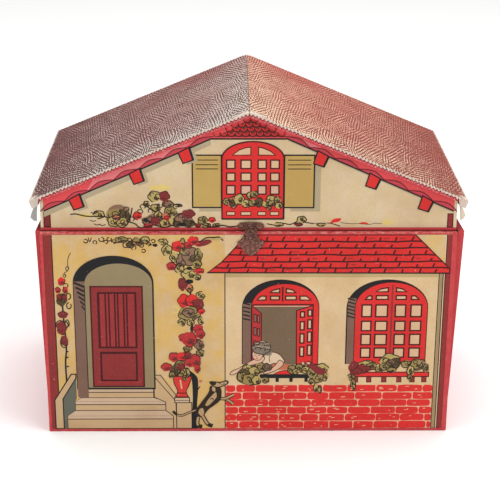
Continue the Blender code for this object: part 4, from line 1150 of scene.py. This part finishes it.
def curled_flap(side, word, finish, torn):
    """The card under one eave. It hangs nearly straight at the front and flares outwards behind, with round
    corners and a frayed lower edge."""
    low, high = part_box(word + "_lid_flap")
    inner, outer = sorted((abs(low.x), abs(high.x)))
    inner, outer = inner + FLAP_CARD / 2, outer - 0.4 * MM
    y, down = np.meshgrid(np.linspace(low.y, high.y, 220), np.linspace(0, 1, 14), indexing="ij")
    short = near(np.minimum(y - low.y, high.y - y), FLAP_ROUND)
    frayed = torn * (value_noise(y / (3.2 * MM), y * 0, 4) + 0.5 * value_noise(y / (1.1 * MM), y * 0, 7))
    cut = FLAP_ROUND * (1 - np.sqrt(1 - short ** 2)) + frayed
    reach = (high.z - low.z) / math.cos(math.radians(20)) - cut
    turn = np.clip((y - low.y) / FLAP_TWIST, 0, 1)
    lean = np.radians(2 + 26 * turn * turn * (3 - 2 * turn) * (0.6 + 0.4 * down))
    wave = 0.5 * MM * np.sin(y / (13 * MM)) * down
    run = down * reach
    x = np.minimum(inner + run * np.sin(lean) + wave * (turn > 0.2), outer)
    points = np.stack([side * x, y, high.z - run * np.cos(lean)], -1)
    made = grid_object(word + "_curled_flap", points, {}, finish)
    thick = made.modifiers.new("card", "SOLIDIFY")
    thick.thickness = FLAP_CARD
    thick.offset = 0
    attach(made, "lid")
    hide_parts(word + "_lid_flap")
    return made


# ---------------------------------------------------------------- operators


# Name, place in metres, power in watts and size in metres of each light
LIGHTS = (("key", (1.3, -0.9, 1.6), 14, 1.2), ("fill", (-1.3, -1.5, 0.9), 3.2, 1.4),
          ("top", (0.0, 0.2, 2.2), 26, 1.8))
LIGHTS_AIM = Vector((0, -0.05, 0.13))
WORLD_STRENGTH = 0.72
CAMERA_LENS, CAMERA_REACH = 101.2, 1.08
CAMERA_YAW, CAMERA_TILT, CAMERA_ROLL = math.radians(-0.9), math.radians(20.8), math.radians(0.29)


class ToyBoxOperator:
    bl_options = {"REGISTER", "UNDO"}


class TOYBOX_OT_front_print(ToyBoxOperator, Operator):
    """Print the front sheet: doorway, windows, awning and brickwork"""
    bl_idname = "toy_box.front_print"
    bl_label = "Front Print"

    def execute(self, context):
        dress("front_print", plain_paper("printing_paper_front", colours().paper))
        front_print()
        return {"FINISHED"}


class TOYBOX_OT_gable_print(ToyBoxOperator, Operator):
    """Print the gable sheet: verge board, window, shutters and vine"""
    bl_idname = "toy_box.gable_print"
    bl_label = "Gable Print"

    def execute(self, context):
        dress("gable_print", plain_paper("printing_paper_gable", colours().paper))
        gable_sheet()
        return {"FINISHED"}


class TOYBOX_OT_roof(ToyBoxOperator, Operator):
    """Lay the embossed paper on both slopes"""
    bl_idname = "toy_box.roof"
    bl_label = "Roof Covers"

    def execute(self, context):
        palette = colours()
        for side, word in ((-1, "left"), (1, "right")):
            # The left slope takes darker, greyer colours than the right: painted shade and dust over the same
            # paper.
            inks = [getattr(palette, word + part) for part in ("_valley", "_crest", "_rubbed")]
            roof_cover(side, word, embossed_paper("embossed_paper_" + word, *inks))
        return {"FINISHED"}


class TOYBOX_OT_cloth(ToyBoxOperator, Operator):
    """Cover the walls, the leaf's edges and the gable's foot in book-cloth"""
    bl_idname = "toy_box.cloth"
    bl_label = "Book-Cloth"

    def execute(self, context):
        low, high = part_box("front_leaf_binding")
        # The leaf's left and top arrises are rubbed pale: wear, and on the top arris also a painted highlight
        # for the light on its top face.
        leaf = book_cloth("book_cloth_leaf", [("X", -1, low.x, 1.2 * MM), ("Z", 1, high.z, 1.0 * MM)])
        dress("front_leaf_binding", leaf, 0.35 * MM)
        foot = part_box("right_wall_cloth")[0].z
        walls = book_cloth("book_cloth_walls", [("Z", -1, foot, 3 * MM)])
        dress("gable_foot_tape", book_cloth("book_cloth_tape", []))
        for node in ("left_wall_cloth", "right_wall_cloth", "back_wall_cloth", "front_hinge_cloth"):
            dress(node, walls)
        return {"FINISHED"}


class TOYBOX_OT_linings(ToyBoxOperator, Operator):
    """Paper the inside, the underside and the back gable, and finish the flaps"""
    bl_idname = "toy_box.linings"
    bl_label = "Linings and Flaps"

    def execute(self, context):
        lining = plain_paper("lining_paper", colours().lining)
        for node in ("base_paper", "back_lining", "floor_lining", "left_lining", "right_lining",
                     "front_leaf_lining"):
            dress(node, lining)
        cream = plain_paper("cream_cover_paper", linear("#D8C4A4"), "#A88858", 0.35)
        for node in ("back_gable", "front_gable", "back_gable_paper"):
            dress(node, cream)
        grey = plain_paper("grey_flap_card", colours().flap_left, "#6E6A66", 0.4)
        buff = plain_paper("buff_flap_card", colours().flap_right, "#8A6A50", 0.4)
        curled_flap(-1, "left", grey, 0.4 * MM)
        curled_flap(1, "right", buff, 2.2 * MM)
        return {"FINISHED"}


class TOYBOX_OT_boards(ToyBoxOperator, Operator):
    """Finish the bare boards"""
    bl_idname = "toy_box.boards"
    bl_label = "Boards"

    def execute(self, context):
        board = greyboard("bare_greyboard")
        for node in ("base_board", "back_wall", "left_side_wall", "right_side_wall", "front_leaf_board",
                     "left_roof_board", "right_roof_board", "left_eave_batten", "right_eave_batten"):
            dress(node, board)
        return {"FINISHED"}


class TOYBOX_OT_ironwork(ToyBoxOperator, Operator):
    """Rust the hasp, the hinges, their pins and their nails"""
    bl_idname = "toy_box.ironwork"
    bl_label = "Ironwork"

    def execute(self, context):
        iron = rusted_iron("rusted_sheet_iron")
        for node in NODES:
            if "hasp" in node or "hinge_" in node and "cloth" not in node:
                dress(node, iron)
        ribbed = rusted_iron("rusted_ribbed_iron", 1.7 * MM)
        for node, finish in (("hasp_shield", iron), ("hasp_lid_plate", iron), ("hasp_tongue", ribbed)):
            dress(node, finish, 0.25 * MM)
        return {"FINISHED"}


class TOYBOX_OT_stage(ToyBoxOperator, Operator):
    """Set the floor, the lights and the camera"""
    bl_idname = "toy_box.stage"
    bl_label = "Stage"

    def execute(self, context):
        scene = context.scene
        mesh = bpy.data.meshes.new("floor")
        bm = bmesh.new()
        bmesh.ops.create_grid(bm, x_segments=8, y_segments=8, size=6.0)
        bm.to_mesh(mesh)
        bm.free()
        mesh.materials.append(studio_floor("white_paper_sweep"))
        floor = bpy.data.objects.new("floor", mesh)
        scene.collection.objects.link(floor)
        world = bpy.data.worlds.new("studio")
        world.use_nodes = True
        background = world.node_tree.nodes["Background"].inputs
        background["Color"].default_value = (1, 1, 1, 1)
        background["Strength"].default_value = WORLD_STRENGTH
        scene.world = world
        scene.view_settings.view_transform = "Standard"
        for name, place, power, size in LIGHTS:
            data = bpy.data.lights.new(name, "AREA")
            data.energy = power
            data.size = size
            light = bpy.data.objects.new(name, data)
            light.location = place
            light.rotation_euler = (LIGHTS_AIM - Vector(place)).to_track_quat("-Z", "Y").to_euler()
            scene.collection.objects.link(light)
        data = bpy.data.cameras.new("camera")
        data.lens = CAMERA_LENS
        camera = bpy.data.objects.new("camera", data)
        scene.collection.objects.link(camera)
        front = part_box("front_leaf_binding")[0].y
        target = Vector((0.0008, front, 0.1565))
        level = math.cos(CAMERA_TILT)
        back = Vector((math.sin(CAMERA_YAW) * level, -math.cos(CAMERA_YAW) * level, math.sin(CAMERA_TILT)))
        camera.location = target + back * CAMERA_REACH
        camera.rotation_euler = (-back).to_track_quat("-Z", "Y").to_euler()
        camera.rotation_euler.rotate_axis("Z", CAMERA_ROLL)
        scene.camera = camera
        return {"FINISHED"}


PIECE_OPERATORS = (TOYBOX_OT_boards, TOYBOX_OT_cloth, TOYBOX_OT_linings, TOYBOX_OT_front_print,
                   TOYBOX_OT_gable_print, TOYBOX_OT_roof, TOYBOX_OT_ironwork, TOYBOX_OT_stage)


class TOYBOX_PT_sidebar(Panel):
    bl_label = "Toy Box"
    bl_idname = "TOYBOX_PT_sidebar"
    bl_space_type = "VIEW_3D"
    bl_region_type = "UI"
    bl_category = "Toy Box"

    def draw(self, context):
        layout = self.layout
        for operator in PIECE_OPERATORS:
            layout.operator(operator.bl_idname)
        for group in (context.scene.toy_box_sizes, context.scene.toy_box_colours):
            column = layout.column(align=True)
            for name in group.__annotations__:
                column.prop(group, name)


CLASSES = (ToyBoxColours, ToyBoxSizes, *PIECE_OPERATORS, TOYBOX_PT_sidebar)


def register():
    for cls in CLASSES:
        bpy.utils.register_class(cls)
    bpy.types.Scene.toy_box_sizes = PointerProperty(type=ToyBoxSizes)
    bpy.types.Scene.toy_box_colours = PointerProperty(type=ToyBoxColours)


def unregister():
    del bpy.types.Scene.toy_box_colours
    del bpy.types.Scene.toy_box_sizes
    for cls in reversed(CLASSES):
        bpy.utils.unregister_class(cls)


def main():
    register()
    for operator in PIECE_OPERATORS:
        getattr(bpy.ops.toy_box, operator.bl_idname.split(".")[1])()
    bpy.context.view_layer.update()


if __name__ == "__main__":
    main()
